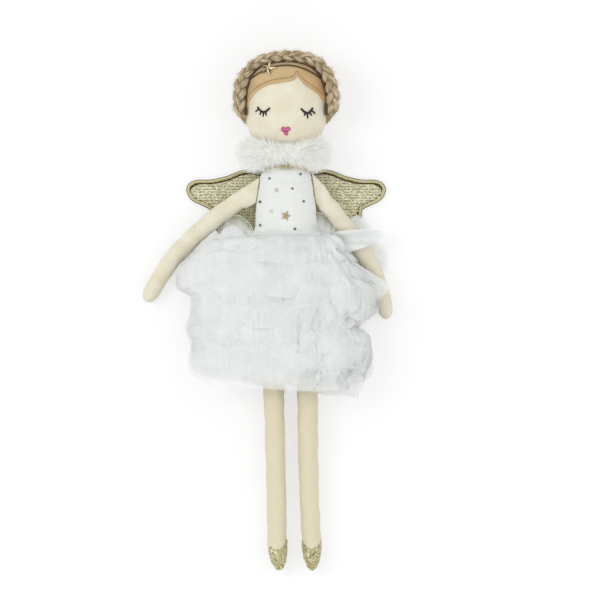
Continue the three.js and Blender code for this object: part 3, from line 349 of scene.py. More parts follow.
HALVES = {"left": (-0.5 * np.pi, 0.5 * np.pi), "right": (0.5 * np.pi, 1.5 * np.pi)}
CASING_LIFT = 1
CASING_ROOT = 0.3
CRIMP_DEPTH = 0.2
CRIMP_COUNT = 60
NET_FLOOR = 0.6
RUFFLE_COLUMNS = 230
RUFFLE_ROWS = 40
RUFFLE_LAYERS = 2
RUFFLE_SEAM_GAP = 1.5
RUFFLE_LAYER_STEP = 6
RIPPLE_DEPTH = 1.1
RIPPLE_LENGTH = 24
CRUMPLE_DEPTH = 2.9
CRUMPLE_LENGTH = 46
BACK_GATHERS_RUFFLE = 1

# Slow waves round the skirt as (height, pace): of a hem, of a sewn top and of the folds' spacing
HEM_WAVES = ((3.6, 2.3), (2.2, 5.3))
TOP_WAVES = ((2.5, 3.1), (1.5, 7.3))
FOLD_WAVES = ((0.16, 2.1), (0.09, 4.7))

# Ruffles from the top down: the tier that each stands for, and places along Y of its top and its hem
Ruffle = namedtuple("Ruffle", "tier top hem_right hem_middle hem_left")
RUFFLES = (
    Ruffle(1, -29, -62, -66, -58),
    Ruffle(1, -33, -86, -98, -104),
    Ruffle(1, -44, -92, -108, -114),
    Ruffle(2, -68, -128, -134, -132),
    Ruffle(2, -82, -142, -152, -152),
    Ruffle(3, -104, -162, -170, -176),
    Ruffle(3, -120, -172, -182, -189),
)

# Loose lobes of net: ends of the gathered base, outline, folds and their depth, layers, radius of a bright
# rim or 0, and a joint, for which the lobe gets a mesh of its own
FLOUNCE_COLUMNS = 120
FLOUNCE_ROWS = 24
Flounce = namedtuple("Flounce", "name base outline folds depth layers rim joint")
FLOUNCES = (
    Flounce(
        "flounce_right", ((-62, -42, 20), (-31, -38, 31)),
        ((-67, -32, 15), (-59, -17.5, 17), (-46, -14.5, 20), (-35, -22.5, 25), (-30.5, -31, 29)),
        5, 1.2, 1, 0.35, None,
    ),
    Flounce(
        "flounce_right_inner", ((-64, -44, 26), (-37, -40, 34)),
        ((-64, -32, 21), (-56, -25, 22), (-49, -24.5, 25), (-43, -28, 28), (-38.5, -34, 31)),
        4, 1.0, 3, 0, None,
    ),
    Flounce(
        "flounce_left", ((30, -38, 32), (58, -44, 25)),
        ((28, -12, 30), (35, -13, 26), (45, -21, 22), (55, -31, 21), (62, -40, 21)),
        5, 1.2, 1, 0.35, None,
    ),
    Flounce(
        "flounce_over_arm", ((44, -32, 26), (44, -45, 28)),
        ((50, -30, 28), (62, -28.5, 31), (80, -28, 30), (92, -29, 23), (97, -34, 17), (95, -41, 19),
         (82, -44, 29), (64, -49, 31), (50, -50, 31)),
        5, 0.8, 4, 0, "shoulder_left",
    ),
    Flounce(
        "flounce_over_wrist", ((48, -42, 32), (50, -60, 38)),
        ((58, -50, 33), (68, -64, 32), (77, -73, 29), (88, -76, 27), (97, -80, 22), (98, -87, 20),
         (90, -94, 22), (76, -94, 30), (62, -80, 37), (54, -66, 39)),
        5, 0.8, 4, 0, "shoulder_left",
    ),
    Flounce(
        "flounce_behind_arm", ((50, -28, 12), (60, -66, 12)),
        ((58, -18, 8), (70, -14, 6), (79, -22, 4), (83, -33, 4), (93, -42, 4), (98.5, -54, 3), (97, -67, 3),
         (88, -73, 4), (72, -70, 8)),
        8, 1.0, 2, 0, None,
    ),
)

# A place on the net's UV map where the finish fades nothing
UNFADED_UV = (0, 0.5)

# Stage: middle, width, distance and level of the camera's view in millimetres, lamps as
# (name, place in metres, power, width in metres), and the light of the white room
VIEW_CENTRE = (13.44, -96)
VIEW_FIELD = 576
VIEW_DISTANCE = 3000
VIEW_LEVEL = 30
SENSOR = 36
LAMPS = (
    ("key_lamp", (-1.2, 0.3, 1.4), 9.5, 0.9),
    ("side_lamp", (1.2, 0.1, 1.2), 4, 1.2),
    ("foot_lamp", (0.3, -1.3, 1.3), 4, 1.4),
)
LAMPS_AIM = (0, -0.1, 0)
ROOM_LIGHT = 0.74
FLOOR_HALF_WIDTH = 4000
FLOOR_LEVEL = -0.4
FLOOR_GLOW = 0.6


def linear(hex_colour):
    """Scene-linear RGBA of an sRGB hex colour: c / 12.92 up to 0.04045, else ((c + 0.055) / 1.055) ** 2.4."""
    channel = np.array([int(hex_colour[i : i + 2], 16) for i in (1, 3, 5)]) / 255
    light = np.where(channel <= 0.04045, channel / 12.92, ((channel + 0.055) / 1.055) ** 2.4)
    return (*light.tolist(), 1.0)


def colour(name, hex_colour, description):
    """A colour that a user can change."""
    return FloatVectorProperty(
        name=name, description=description, subtype="COLOR", size=4, min=0, max=1, default=linear(hex_colour)
    )


def size(name, millimetres, description):
    """A length that a user can change."""
    return FloatProperty(
        name=name, description=description, unit="LENGTH", min=0, precision=4, default=millimetres * MM
    )


class DollColours(bpy.types.PropertyGroup):
    """Colours of the cloths, threads and trims."""

    muslin: colour("Muslin", "#E6E1CE", "Face and arms")
    muslin_leg: colour("Leg muslin", "#DED5B8", "Legs, a yellower length of the cloth")
    muslin_shade: colour("Muslin shade", "#DDD4B9", "Darker threads and lumps of the muslin")
    cotton: colour("Cotton", "#E6E8E3", "Bodice, waistband and lining")
    felt: colour("Felt", "#D2B98E", "Hair felt")
    felt_shade: colour("Felt shade", "#BFA171", "Darker fibres of the felt")
    hair_stitch: colour("Hair stitch", "#A3814C", "Thread along the hairline")
    yarn_light: colour("Light yarn", "#E6DABC", "Light plies of the plait")
    yarn: colour("Yarn", "#B7A27C", "Middle plies of the plait")
    yarn_dark: colour("Dark yarn", "#5C4329", "Dark plies of the plait")
    gilt: colour("Gilt thread", "#E4D8AC", "Neck cord and bow")
    band: colour("Headband", "#6A4F26", "Dark gilt headband")
    star: colour("Star", "#F0E4BE", "Gilt metal star")
    eye: colour("Eye thread", "#16130F", "Embroidered lids and lashes")
    lip: colour("Lip thread", "#EE74AC", "Embroidered lips")
    lip_line: colour("Lip line thread", "#A94A70", "Line round and between the lips")
    fur: colour("Fur", "#F7F7F4", "Collar")
    lurex: colour("Glitter cloth", "#D4D1B2", "Wing fabric")
    lurex_groove: colour("Glitter groove", "#807B53", "Between the ribs of the wing fabric")
    lurex_spark: colour("Glitter spark", "#EEEDDC", "Bright flakes of the wing fabric")
    piping: colour("Piping", "#ECE6B8", "Cord round the wings")
    groove: colour("Stitched groove", "#402B06", "Shadowed stitching inside the piping")
    shoe: colour("Shoe glitter", "#B8B082", "Toe caps")
    foil_gold: colour("Gold foil", "#A5985C", "Printed star")
    foil_pale: colour("Pale foil", "#A9A99C", "Printed pale dots")
    foil_dark: colour("Dark foil", "#4B4637", "Printed dark dots")
    net: colour("Net", "#EDEFEE", "Gathered skirt net")


class DollSizes(bpy.types.PropertyGroup):
    """Sizes and counts of the finer work."""

    thread: size("Muslin thread", 0.9, "Spacing of the woven threads, coarser than life so that it shows")
    rib: size("Wing rib", 2.8, "Spacing of the ribs of the wing fabric")
    flake: size("Glitter flake", 0.85, "Size of a glitter flake")
    fur_length: size("Fur length", 12, "Length of the longest fur")
    fur_count: IntProperty(name="Fur count", description="Number of fur fibres", default=10000, min=0)
    stitch: size("Stitch", 2.3, "Length of a stitch along the hairline")
    fold_depth: size("Fold depth", 2.6, "Half depth of the skirt's folds")
    fold_count: IntProperty(name="Fold count", description="Folds round each ruffle", default=16, min=3)
    net_cover: FloatProperty(
        name="Net cover", description="Share of light that one layer of net stops", subtype="FACTOR",
        default=0.66, min=0, max=1,
    )


def mix(a, b, share):
    """A share of the way from a to b."""
    return a + (b - a) * share


def ease(share):
    """Smooth step: 3 s^2 - 2 s^3 with s held between 0 and 1."""
    held = np.clip(share, 0, 1)
    return held * held * (3 - 2 * held)


def unit(vectors):
    """Each vector divided by its length."""
    return vectors / np.maximum(np.linalg.norm(vectors, axis=-1, keepdims=True), 1e-9)


def turn_angles(count):
    """Evenly spaced angles of one full turn."""
    return np.linspace(0, FULL_TURN, count, endpoint=False)


def hermite(start, end, leave, arrive, t):
    """Cubic from start to end with the slopes leave and arrive, at shares t."""
    bend = leave * t * (1 - t) ** 2 + arrive * t * t * (t - 1)
    return start * (1 + 2 * t) * (1 - t) ** 2 + end * t * t * (3 - 2 * t) + bend


def profile(stations, at):
    """Size at each place through (place, size) stations: cubics whose slope at a station is the harmonic mean
    of its two sides, or 0 at a turn, so that no size swings past the stations that it joins."""
    place, value = np.array(stations, float).T
    step = np.diff(place)
    rise = np.diff(value) / step
    slope = np.zeros_like(value)
    both = rise[:-1] * rise[1:]
    total = rise[:-1] + rise[1:]
    slope[1:-1] = np.where(both > 0, 2 * both / np.where(total == 0, 1, total), 0)
    held = np.clip(at, place[0], place[-1])
    i = np.clip(np.searchsorted(place, held, side="right") - 1, 0, len(step) - 1)
    t = (held - place[i]) / step[i]
    return hermite(value[i], value[i + 1], slope[i] * step[i], slope[i + 1] * step[i], t)


def even(line, count):
    """The same line as evenly spaced points."""
    walked = np.concatenate([[0], np.cumsum(np.linalg.norm(np.diff(line, axis=0), axis=1))])
    at = np.linspace(0, walked[-1], count)
    return np.stack([np.interp(at, walked, line[:, k]) for k in range(line.shape[1])], -1)


def length_of(line):
    """The steps from point to point added up."""
    return np.linalg.norm(np.diff(line, axis=0), axis=1).sum()


def smooth_line(points, count, span_steps=60):
    """Evenly spaced points on the centripetal Catmull-Rom curve through the given points."""
    points = np.asarray(points, float)
    reached = np.vstack([2 * points[0] - points[1], points, 2 * points[-1] - points[-2]])
    knot = np.sqrt(np.linalg.norm(np.diff(reached, axis=0), axis=1))[:, None]
    before, here, after = knot[:-2], knot[1:-1], knot[2:]
    p0, p1, p2, p3 = reached[:-3], reached[1:-2], reached[2:-1], reached[3:]
    leave = ((p1 - p0) / before - (p2 - p0) / (before + here) + (p2 - p1) / here) * here
    arrive = ((p2 - p1) / here - (p3 - p1) / (here + after) + (p3 - p2) / after) * here
    t = np.linspace(0, 1, span_steps, endpoint=False)[None, :, None]
    spans = hermite(p1[:, None], p2[:, None], leave[:, None], arrive[:, None], t)
    return even(np.vstack([spans.reshape(-1, points.shape[1]), points[-1:]]), count)


def ripple(points, wavelength, seed, waves=9):
    """Soft lumps, mostly from -1 to 1: the sum of sines of seeded heading, phase and length, over the root of
    their number."""
    draw = np.random.default_rng(seed)
    heading = unit(draw.normal(size=(waves, 3)))
    pitch = FULL_TURN / (wavelength * draw.uniform(0.7, 1.5, waves))
    phase = draw.uniform(0, FULL_TURN, waves)
    return np.sin(points @ (heading * pitch[:, None]).T + phase).sum(-1) / np.sqrt(waves)


def slow_waves(waves, angle, starts):
    """The sum of height sin(pace angle + start) over some waves, each a height and a pace."""
    return sum(height * np.sin(pace * angle + start) for (height, pace), start in zip(waves, starts))


def normals(points, round_columns=False):
    """Unit normals of a grid: the step down the rows crossed with the step along the columns."""
    down = np.gradient(points, axis=0)
    if round_columns:
        across = np.roll(points, -1, 1) - np.roll(points, 1, 1)
    else:
        across = np.gradient(points, axis=1)
    return unit(np.cross(down, across))


class StuffedForm:
    """A stuffed tube along a line. At place u and angle a its surface is
    line(u) + across (half width - inset) r cos a + outward (depth - inset) r sin a,
    where r = (1 - s^p)^(1/p) rounds the far end and s runs from 0 to 1 over the rounding length."""

    def __init__(self, line, half_width, front, back, rounding, power=2, seam=None):
        self.line = line
        self.length = length_of(line)
        self.half_width, self.front, self.back = half_width, front, back
        self.rounding, self.power = rounding, power
        along = unit(np.gradient(line, axis=0))
        self.outward = unit(UP - along * along[:, 2:])
        self.across = np.cross(along, self.outward)
        self.tip = along[-1]
        if seam is not None:
            near = 1 - ease(np.linspace(0, 1, len(line)) / SEAM_REACH)
            self.across = unit(mix(self.across, seam, near[:, None]))

    def sample(self, table, u):
        """Rows of a table, which runs evenly along the line, at places u."""
        grid = np.linspace(0, 1, len(table))
        return np.stack([np.interp(u, grid, table[:, k]) for k in range(3)], -1)

    def rounded(self, u):
        """How far the rounded end has drawn in, r, and the share of it that is passed, s, at places u."""
        share = np.clip((u * self.length - self.length + self.rounding) / self.rounding, 0, 1)
        return (1 - share**self.power) ** (1 / self.power), share

    def at(self, inset, u, angle):
        """Points of the surface, drawn in by an inset, at places u and angles."""
        u, angle = np.broadcast_arrays(u, angle)
        place = u * self.length
        shrink, share = self.rounded(u)
        depth = np.where(np.sin(angle) >= 0, profile(self.front, place), profile(self.back, place))
        wide = (profile(self.half_width, place) - inset) * shrink * np.cos(angle)
        deep = (depth - inset) * shrink * np.sin(angle)
        centre = self.sample(self.line, u) - (inset * share)[..., None] * self.tip
        across = self.sample(self.across, u)
        return centre + wide[..., None] * across + deep[..., None] * self.sample(self.outward, u)

    def in_front(self, x, height, lift):
        """The point of a form that runs along +Y at a place across and a height, lifted off its surface."""
        u = np.asarray(height, float) / self.length
        wide = (profile(self.half_width, u * self.length) + lift) * self.rounded(u)[0]
        return self.at(-lift, u, np.arccos(np.clip(x / wide, -1, 1)))


def straight(y, length, count=50):
    """A straight line along +Y on the doll's axis."""
    return np.stack([np.zeros(count), np.linspace(y, y + length, count), np.full(count, AXIS_Z)], -1)


def scaled(stations, length):
    """Stations given as shares of a length, as distances."""
    return tuple((share * length, value) for share, value in stations)


BODY = StuffedForm(straight(HIP_Y, BODY_LENGTH), BODY_HALF_WIDTH, BODY_FRONT, BODY_BACK, NECK_ROUNDING)
HEAD = StuffedForm(
    straight(HEAD_BASE, HEAD_LENGTH), HEAD_HALF_WIDTH, HEAD_FRONT, HEAD_BACK, HEAD_ROUNDING, HEAD_POWER
)


def places(form, count, end_count):
    """Places along a form, closer together where its end is rounded."""
    bend = 1 - form.rounding / form.length
    end = mix(bend, 1, np.sin(np.linspace(0, np.pi / 2, end_count)))
    return np.concatenate([np.linspace(0, bend, count, endpoint=False), end])


def surface(points, round_columns=False, round_rows=False, uv_size=(1000, 1000)):
    """Points, quads and corner UVs, in metres, of one grid of rows and columns or of a stack of them."""
    rows, columns = points.shape[-3:-1]
    row_steps, column_steps = rows - (not round_rows), columns - (not round_columns)
    i, j = np.meshgrid(np.arange(row_steps), np.arange(column_steps), indexing="ij")
    row = np.stack([i, i, i + 1, i + 1], -1).reshape(-1, 4)
    column = np.stack([j, j + 1, j + 1, j], -1).reshape(-1, 4)
    one = (row % rows) * columns + column % columns
    count = points.size // (3 * rows * columns)
    faces = (one[None] + (np.arange(count) * rows * columns)[:, None, None]).reshape(-1, 4)
    share = np.stack([column / column_steps, row / row_steps], -1)
    return points.reshape(-1, 3), faces, np.tile(share * np.array(uv_size) * MM, (count, 1, 1))


def joined(shapes):
    """Several shapes as one."""
    counts = np.cumsum([0] + [len(points) for points, _, _ in shapes])
    points = np.concatenate([points for points, _, _ in shapes])
    faces = np.concatenate([faces + start for (_, faces, _), start in zip(shapes, counts)])
    return points, faces, np.concatenate([uv for _, _, uv in shapes])


def make_piece(name, shape, finish, closed=True, smooth=True, weld=False):
    """An object from a shape. A closed one has its coinciding points welded and its faces turned outwards,
    and a quad with a repeated corner becomes a triangle."""
    points, faces, uv = shape
    if closed or weld:
        _, first, back = np.unique(np.round(points, 4), axis=0, return_index=True, return_inverse=True)
        points, faces = points[first], back.reshape(-1)[faces]
    if closed:
        a, b, c, d = (points[faces[:, k]] for k in range(4))
        volume = np.einsum("ij,ij->i", a, np.cross(b, c) + np.cross(c, d)).sum()
        if volume < 0:
            faces, uv = faces[:, ::-1], uv[:, ::-1]
    same = faces == np.roll(faces, -1, axis=1)
    whole = ~same.any(1)
    bent = same.sum(1) == 1
    corners = np.concatenate([faces[whole].ravel(), faces[bent][~same[bent]]])
    corner_uv = np.concatenate([uv[whole].reshape(-1, 2), uv[bent][~same[bent]]])
    quads, triangles = whole.sum(), bent.sum()
    starts = np.concatenate([np.arange(quads) * 4, quads * 4 + np.arange(triangles) * 3])
    mesh = bpy.data.meshes.new(name)
    mesh.vertices.add(len(points))
    mesh.vertices.foreach_set("co", (points * MM).astype(np.float32).ravel())
    mesh.loops.add(len(corners))
    mesh.loops.foreach_set("vertex_index", corners.astype(np.int32))
    mesh.polygons.add(len(starts))
    mesh.polygons.foreach_set("loop_start", starts.astype(np.int32))
    mesh.polygons.foreach_set("use_smooth", np.full(len(starts), smooth))
    layer = mesh.uv_layers.new(name="cloth")
    layer.uv.foreach_set("vector", corner_uv.astype(np.float32).ravel())
    mesh.update(calc_edges=True)
    mesh.validate()
    mesh.materials.append(finish)
    piece = bpy.data.objects.new(name, mesh)
    bpy.context.scene.collection.objects.link(piece)
    return piece


def dress(piece, body, slot, *nodes):
    """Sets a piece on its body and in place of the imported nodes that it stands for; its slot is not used."""
    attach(piece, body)
    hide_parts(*nodes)
    return piece


def capped(rings):
    """Rings with a row drawn to a point at each end."""
    first = np.repeat(rings[:1].mean(1, keepdims=True), rings.shape[1], 1)
    last = np.repeat(rings[-1:].mean(1, keepdims=True), rings.shape[1], 1)
    return np.concatenate([first, rings, last])


def tube(path, radius, sides, upright, closed=False, plies=0, groove=0.0, pitch=1.0):
    """A round section carried along a path. With plies, its radius is
    r (1 - groove |sin(plies (a - w) / 2)|), where w turns once in each pitch, so that the plies twist."""
    if closed:
        along = unit(np.roll(path, -1, 0) - np.roll(path, 1, 0))
        step = np.linalg.norm(np.roll(path, -1, 0) - path, axis=1)
    else:
        along = unit(np.gradient(path, axis=0))
        step = np.append(np.linalg.norm(np.diff(path, axis=0), axis=1), 0)
    walked = np.cumsum(step) - step
    length = step.sum()
    if closed and plies:
        pitch = length / max(round(length / pitch), 1)
    side = unit(np.cross(along, upright))
    top = np.cross(side, along)
    angle = turn_angles(sides)[None, :]
    twist = FULL_TURN * walked[:, None] / pitch
    reach = np.asarray(radius)[..., None] * (1 - groove * np.abs(np.sin(plies * (angle - twist) / 2)))
    reach = np.broadcast_to(reach, (len(path), sides))
    rings = path[:, None] + side[:, None] * (reach * np.cos(angle))[..., None]
    rings = rings + top[:, None] * (reach * np.sin(angle))[..., None]
    around = FULL_TURN * np.mean(radius)
    if closed:
        return surface(rings, round_columns=True, round_rows=True, uv_size=(around, length))
    return surface(capped(rings), round_columns=True, uv_size=(around, length))


def blades(root, heading, length, width, bend, seed, taper=0.85):
    """Thin tapering fibres: each is a strip of two quads from a root along its heading, bent over at the
    end."""
    draw = np.random.default_rng(seed)
    flat = unit(np.cross(heading, draw.normal(size=heading.shape)))
    share = np.array((0, 0.5, 1))[None, :, None]
    spine = root[:, None] + heading[:, None] * length[:, None, None] * share
    spine = spine + bend[:, None] * (length[:, None, None] * share**2)
    half = (0.5 * width * (1 - taper * share)) * flat[:, None]
    return surface(np.stack([spine - half, spine + half], 2), uv_size=(1, 1000))


def stuffed_skin(form, rows, columns, lump, seed, creases=()):
    """A closed skin over a form: rings moved along their normals by soft lumps, drawn in along the two side
    seams and at each crease (place, depth, spread, slant), and drawn to a point at the root."""
    angle = turn_angles(columns)[None, :]
    u = rows[:, None]
    points = form.at(0, u, angle)
    push = lump * ripple(points, LUMP, seed) + FINE_LUMP_SHARE * lump * ripple(points, FINE_LUMP, seed + 1)
    push = push - SEAM_DEPTH * np.exp(-((np.sin(angle) / SEAM_WIDTH) ** 2))
    for place, depth, spread, slant in creases:
        push = push - depth * np.exp(-(((u + slant * np.cos(angle) - place) / spread) ** 2))
    points = points + normals(points, True) * push[..., None]
    root = np.repeat(points[:1].mean(1, keepdims=True), columns, 1)
    around = FULL_TURN * np.mean([value for _, value in form.half_width])
    return surface(np.concatenate([root, points]), round_columns=True, uv_size=(around, form.length))


def fill(tree, node, inputs):
    """Sets each input of a node to a value, or links it to an output."""
    for key, value in inputs.items():
        if isinstance(value, bpy.types.NodeSocket):
            tree.links.new(value, node.inputs[key])
        else:
            node.inputs[key].default_value = value


def add_node(tree, kind, inputs=None, **settings):
    """Adds one shader node of a kind with its settings, sets or links its inputs, and gives its outputs."""
    made = tree.nodes.new("ShaderNode" + kind)
    for key, value in settings.items():
        setattr(made, key, value)
    fill(tree, made, inputs or {})
    return made.outputs


# Sockets of a colour Mix node, and the period of a Wave texture at scale 1
FACTOR, A, B, RESULT = 0, 6, 7, 2
WAVE_PERIOD = np.pi / 10


def weave(tree, spacing, unevenness):
    """Height of a plain weave: bands along the cloth and bands across it, added up."""
    uv = add_node(tree, "UVMap")["UV"]
    threads = {"Vector": uv, "Scale": WAVE_PERIOD / spacing, "Distortion": unevenness, "Detail": 1.0}
    warp = add_node(tree, "TexWave", threads, bands_direction="X")["Fac"]
    weft = add_node(tree, "TexWave", threads, bands_direction="Y")["Fac"]
    return add_node(tree, "Math", {0: warp, 1: weft}, operation="ADD")["Value"]


def flakes(tree, place, length):
    """Three numbers from 0 to 1, as X, Y and Z, drawn anew for each glitter flake."""
    cells = add_node(tree, "TexVoronoi", {"Vector": place, "Scale": 1 / length, "Randomness": 1.0})
    return add_node(tree, "SeparateXYZ", {"Vector": cells["Color"]})


def muslin(tree, colours, sizes):
    """Unbleached plain-woven cotton: matt and creamy, yellower on the legs, with uneven threads and soft
    darker patches."""
    place = add_node(tree, "TexCoord")["Object"]
    patch = add_node(tree, "TexNoise", {"Vector": place, "Scale": 1 / (14 * MM), "Detail": 3.0})["Fac"]
    shade = add_node(tree, "MapRange", {"Value": patch, "From Min": 0.35, "From Max": 0.75})["Result"]
    up = add_node(tree, "SeparateXYZ", {"Vector": place})["Y"]
    leg = add_node(tree, "MapRange", {"Value": up, "From Min": -120 * MM, "From Max": -190 * MM})["Result"]
    cloth = add_node(
        tree, "Mix", {FACTOR: leg, A: colours.muslin, B: colours.muslin_leg}, data_type="RGBA"
    )[RESULT]
    tone = add_node(tree, "Mix", {FACTOR: shade, A: cloth, B: colours.muslin_shade}, data_type="RGBA")[RESULT]
    threads = {"Height": weave(tree, sizes.thread, 1.2), "Distance": 0.12 * MM, "Strength": 0.5}
    return {
        "Base Color": tone,
        "Normal": add_node(tree, "Bump", threads)["Normal"],
        "Roughness": 0.92,
        "Specular IOR Level": 0.25,
        "Sheen Weight": 0.12,
    }


def cotton(tree, colours, sizes):
    """Bleached cotton: bright, matt and finely woven, with faint puckers."""
    place = add_node(tree, "TexCoord")["Object"]
    patch = add_node(tree, "TexNoise", {"Vector": place, "Scale": 1 / (9 * MM), "Detail": 2.0})["Fac"]
    tone = add_node(tree, "Mix", {FACTOR: patch, A: colours.cotton, B: linear("#DFE2DE")}, data_type="RGBA")
    threads = {"Height": weave(tree, sizes.thread, 0.8), "Distance": 0.1 * MM, "Strength": 0.4}
    return {
        "Base Color": tone[RESULT],
        "Normal": add_node(tree, "Bump", threads)["Normal"],
        "Roughness": 0.9,
        "Specular IOR Level": 0.25,
    }


def felt(tree, colours, sizes):
    """Pressed wool felt: no weave, a nap of short crossed fibres, painted shade that turns it browner towards
    the doll's left side, and a soft sheen."""
    place = add_node(tree, "TexCoord")["Object"]
    fibre = add_node(
        tree, "TexNoise", {"Vector": place, "Scale": 1 / (0.9 * MM), "Detail": 6.0, "Distortion": 1.5}
    )["Fac"]
    cloud = add_node(tree, "TexNoise", {"Vector": place, "Scale": 1 / (16 * MM), "Detail": 3.0})["Fac"]
    both = add_node(tree, "Math", {0: fibre, 1: cloud}, operation="MULTIPLY")["Value"]
    shade = add_node(tree, "MapRange", {"Value": both, "From Min": 0.12, "From Max": 0.42})["Result"]
    nap = add_node(tree, "Mix", {FACTOR: shade, A: colours.felt_shade, B: colours.felt}, data_type="RGBA")
    across = add_node(tree, "SeparateXYZ", {"Vector": place})["X"]
    # Browner towards +X, the doll's left: painted shade
    painted_side_shade = add_node(
        tree, "MapRange", {"Value": across, "From Min": 4 * MM, "From Max": 34 * MM, "To Max": 0.55}
    )["Result"]
    tone = add_node(tree, "Mix", {FACTOR: painted_side_shade, A: nap[RESULT], B: linear("#B98A56")}, data_type="RGBA")
    return {
        "Base Color": tone[RESULT],
        "Normal": add_node(tree, "Bump", {"Height": fibre, "Distance": 0.5 * MM, "Strength": 0.5})["Normal"],
        "Roughness": 0.95,
        "Sheen Weight": 0.3,
    }


def yarn(tree, colours, sizes):
    """Soft spun wool: light, tan and dark plies that run along the strand in fine streaks."""
    uv = add_node(tree, "UVMap")["UV"]
    along = add_node(tree, "Mapping", {"Vector": uv, "Scale": (1 / (1.3 * MM), 1 / (20 * MM), 1)})["Vector"]
    streak = add_node(tree, "TexNoise", {"Vector": along, "Scale": 1.0, "Detail": 4.0})["Fac"]
    light = add_node(tree, "MapRange", {"Value": streak, "From Min": 0.46, "From Max": 0.66})["Result"]
    dark = add_node(tree, "MapRange", {"Value": streak, "From Min": 0.3, "From Max": 0.48})["Result"]
    low = add_node(tree, "Mix", {FACTOR: dark, A: colours.yarn_dark, B: colours.yarn}, data_type="RGBA")
    tone = add_node(tree, "Mix", {FACTOR: light, A: low[RESULT], B: colours.yarn_light}, data_type="RGBA")
    return {
        "Base Color": tone[RESULT],
        "Normal": add_node(tree, "Bump", {"Height": streak, "Distance": 0.8 * MM, "Strength": 0.7})["Normal"],
        "Roughness": 0.85,
        "Sheen Weight": 0.25,
    }


def twisted(tree, bright, dark, metallic):
    """Metal-wrapped cord in bands aslant to the cord: painted light along the plies and painted shade between
    them.
    """
    uv = add_node(tree, "UVMap")["UV"]
    slant = add_node(tree, "Mapping", {"Vector": uv, "Rotation": (0, 0, np.radians(38))})["Vector"]
    plies = {"Vector": slant, "Scale": WAVE_PERIOD / (1.3 * MM), "Distortion": 0.6}
    # Pale and dark bands aslant: painted light on the plies and painted shade between them
    band = add_node(tree, "TexWave", plies)["Fac"]
    return {
        "Base Color": add_node(tree, "Mix", {FACTOR: band, A: dark, B: bright}, data_type="RGBA")[RESULT],
        "Normal": add_node(tree, "Bump", {"Height": band, "Distance": 0.3 * MM, "Strength": 0.6})["Normal"],
        "Metallic": metallic,
        "Roughness": 0.45,
    }


def gilt_cord(tree, colours, sizes):
    """Gilt thread twisted into a cord."""
    return twisted(tree, colours.gilt, linear("#A48E58"), 0.1)


def band_cord(tree, colours, sizes):
    """Dark gilt thread twisted into a fine cord."""
    return twisted(tree, colours.band, linear("#3A2810"), 0.3)


def piping_cord(tree, colours, sizes):
    """Gold lurex wrapped round a cord: a painted highlight on the crown of each turn and olive painted shade
    between the turns.
    """
    return twisted(tree, colours.piping, linear("#A99C5C"), 0.1)


def star_metal(tree, colours, sizes):
    """Cast and gilded zinc with painted light: every other facet is painted bright as if lit and the next dark
    as if in shade, with faint wear over both.
    """
    uv = add_node(tree, "UVMap")["UV"]
    round_star = add_node(tree, "SeparateXYZ", {"Vector": uv})["X"]
    pair = add_node(tree, "Math", {0: round_star, 1: 0.2}, operation="MODULO")["Value"]
    # Alternate facets bright and dark: painted light and painted shade
    facet = add_node(tree, "Math", {0: pair, 1: 0.1}, operation="GREATER_THAN")["Value"]
    low = add_node(tree, "Mix", {FACTOR: facet, A: linear("#4A3819"), B: colours.star}, data_type="RGBA")
    place = add_node(tree, "TexCoord")["Object"]
    grain = add_node(tree, "TexNoise", {"Vector": place, "Scale": 1 / (1.4 * MM), "Detail": 4.0})["Fac"]
    worn = add_node(tree, "MapRange", {"Value": grain, "To Min": 0.0, "To Max": 0.3})["Result"]
    tone = add_node(tree, "Mix", {FACTOR: worn, A: low[RESULT], B: linear("#B49C63")}, data_type="RGBA")
    return {"Base Color": tone[RESULT], "Metallic": 0.15, "Roughness": 0.45}


def floss(tree, tone, spacing, between=0.72):
    """Embroidery floss: satin stitches side by side, each with a soft gloss, and painted shade between them.
    """
    uv = add_node(tree, "UVMap")["UV"]
    rows = {"Vector": uv, "Scale": WAVE_PERIOD / spacing, "Distortion": 1.0, "Detail": 2.0}
    stitch = add_node(tree, "TexWave", rows, bands_direction="Y")["Fac"]
    # Darker between the stitches: painted shade
    low = tuple(between * channel for channel in tone[:3]) + (1.0,)
    shade = add_node(tree, "Mix", {FACTOR: stitch, A: low, B: tuple(tone)}, data_type="RGBA")[RESULT]
    bump = add_node(tree, "Bump", {"Height": stitch, "Distance": 0.25 * MM, "Strength": 0.6})["Normal"]
    return {"Base Color": shade, "Normal": bump, "Roughness": 0.55}


def shadow_brown_yarn(tree, colours, sizes):
    """Dark brown wool, streaked across, laid as painted shadow."""
    return floss(tree, linear("#51361D"), 1.1 * MM)


def eye_floss(tree, colours, sizes):
    """Black embroidery floss."""
    return floss(tree, colours.eye, 0.6 * MM)


def lip_floss(tree, colours, sizes):
    """Pink embroidery floss with wide stitches, painted dark between them as shade."""
    return floss(tree, colours.lip, 1.5 * MM, 0.4)


def lip_line_floss(tree, colours, sizes):
    """Dark rose embroidery floss: a line between the lips, and painted shadow along the top of the upper lip
    and under the lower lip.
    """
    return floss(tree, colours.lip_line, 0.6 * MM)


def hair_thread(tree, colours, sizes):
    """Tan sewing thread."""
    return floss(tree, colours.hair_stitch, 0.5 * MM)


def shadow_groove_thread(tree, colours, sizes):
    """Dark, dull thread in the ditch between the piping and the panel and below the piping: painted shadow."""
    return floss(tree, colours.groove, 0.9 * MM) | {"Specular IOR Level": 0.05, "Roughness": 0.9}


def fur_pile(tree, colours, sizes):
    """Acrylic fur: white along the fibre and a little greyer at its root, which is painted shade. A faint glow
    stands for the light that the fibres hand on to each other."""
    uv = add_node(tree, "UVMap")["UV"]
    share = add_node(tree, "SeparateXYZ", {"Vector": uv})["Y"]
    # Greyer at the root: painted shade among the fibres
    tone = add_node(tree, "Mix", {FACTOR: share, A: linear("#EDEDEA"), B: colours.fur}, data_type="RGBA")
    return {
        "Base Color": tone[RESULT],
        "Roughness": 0.6,
        "Emission Color": colours.fur,
        "Emission Strength": 0.07,
    }


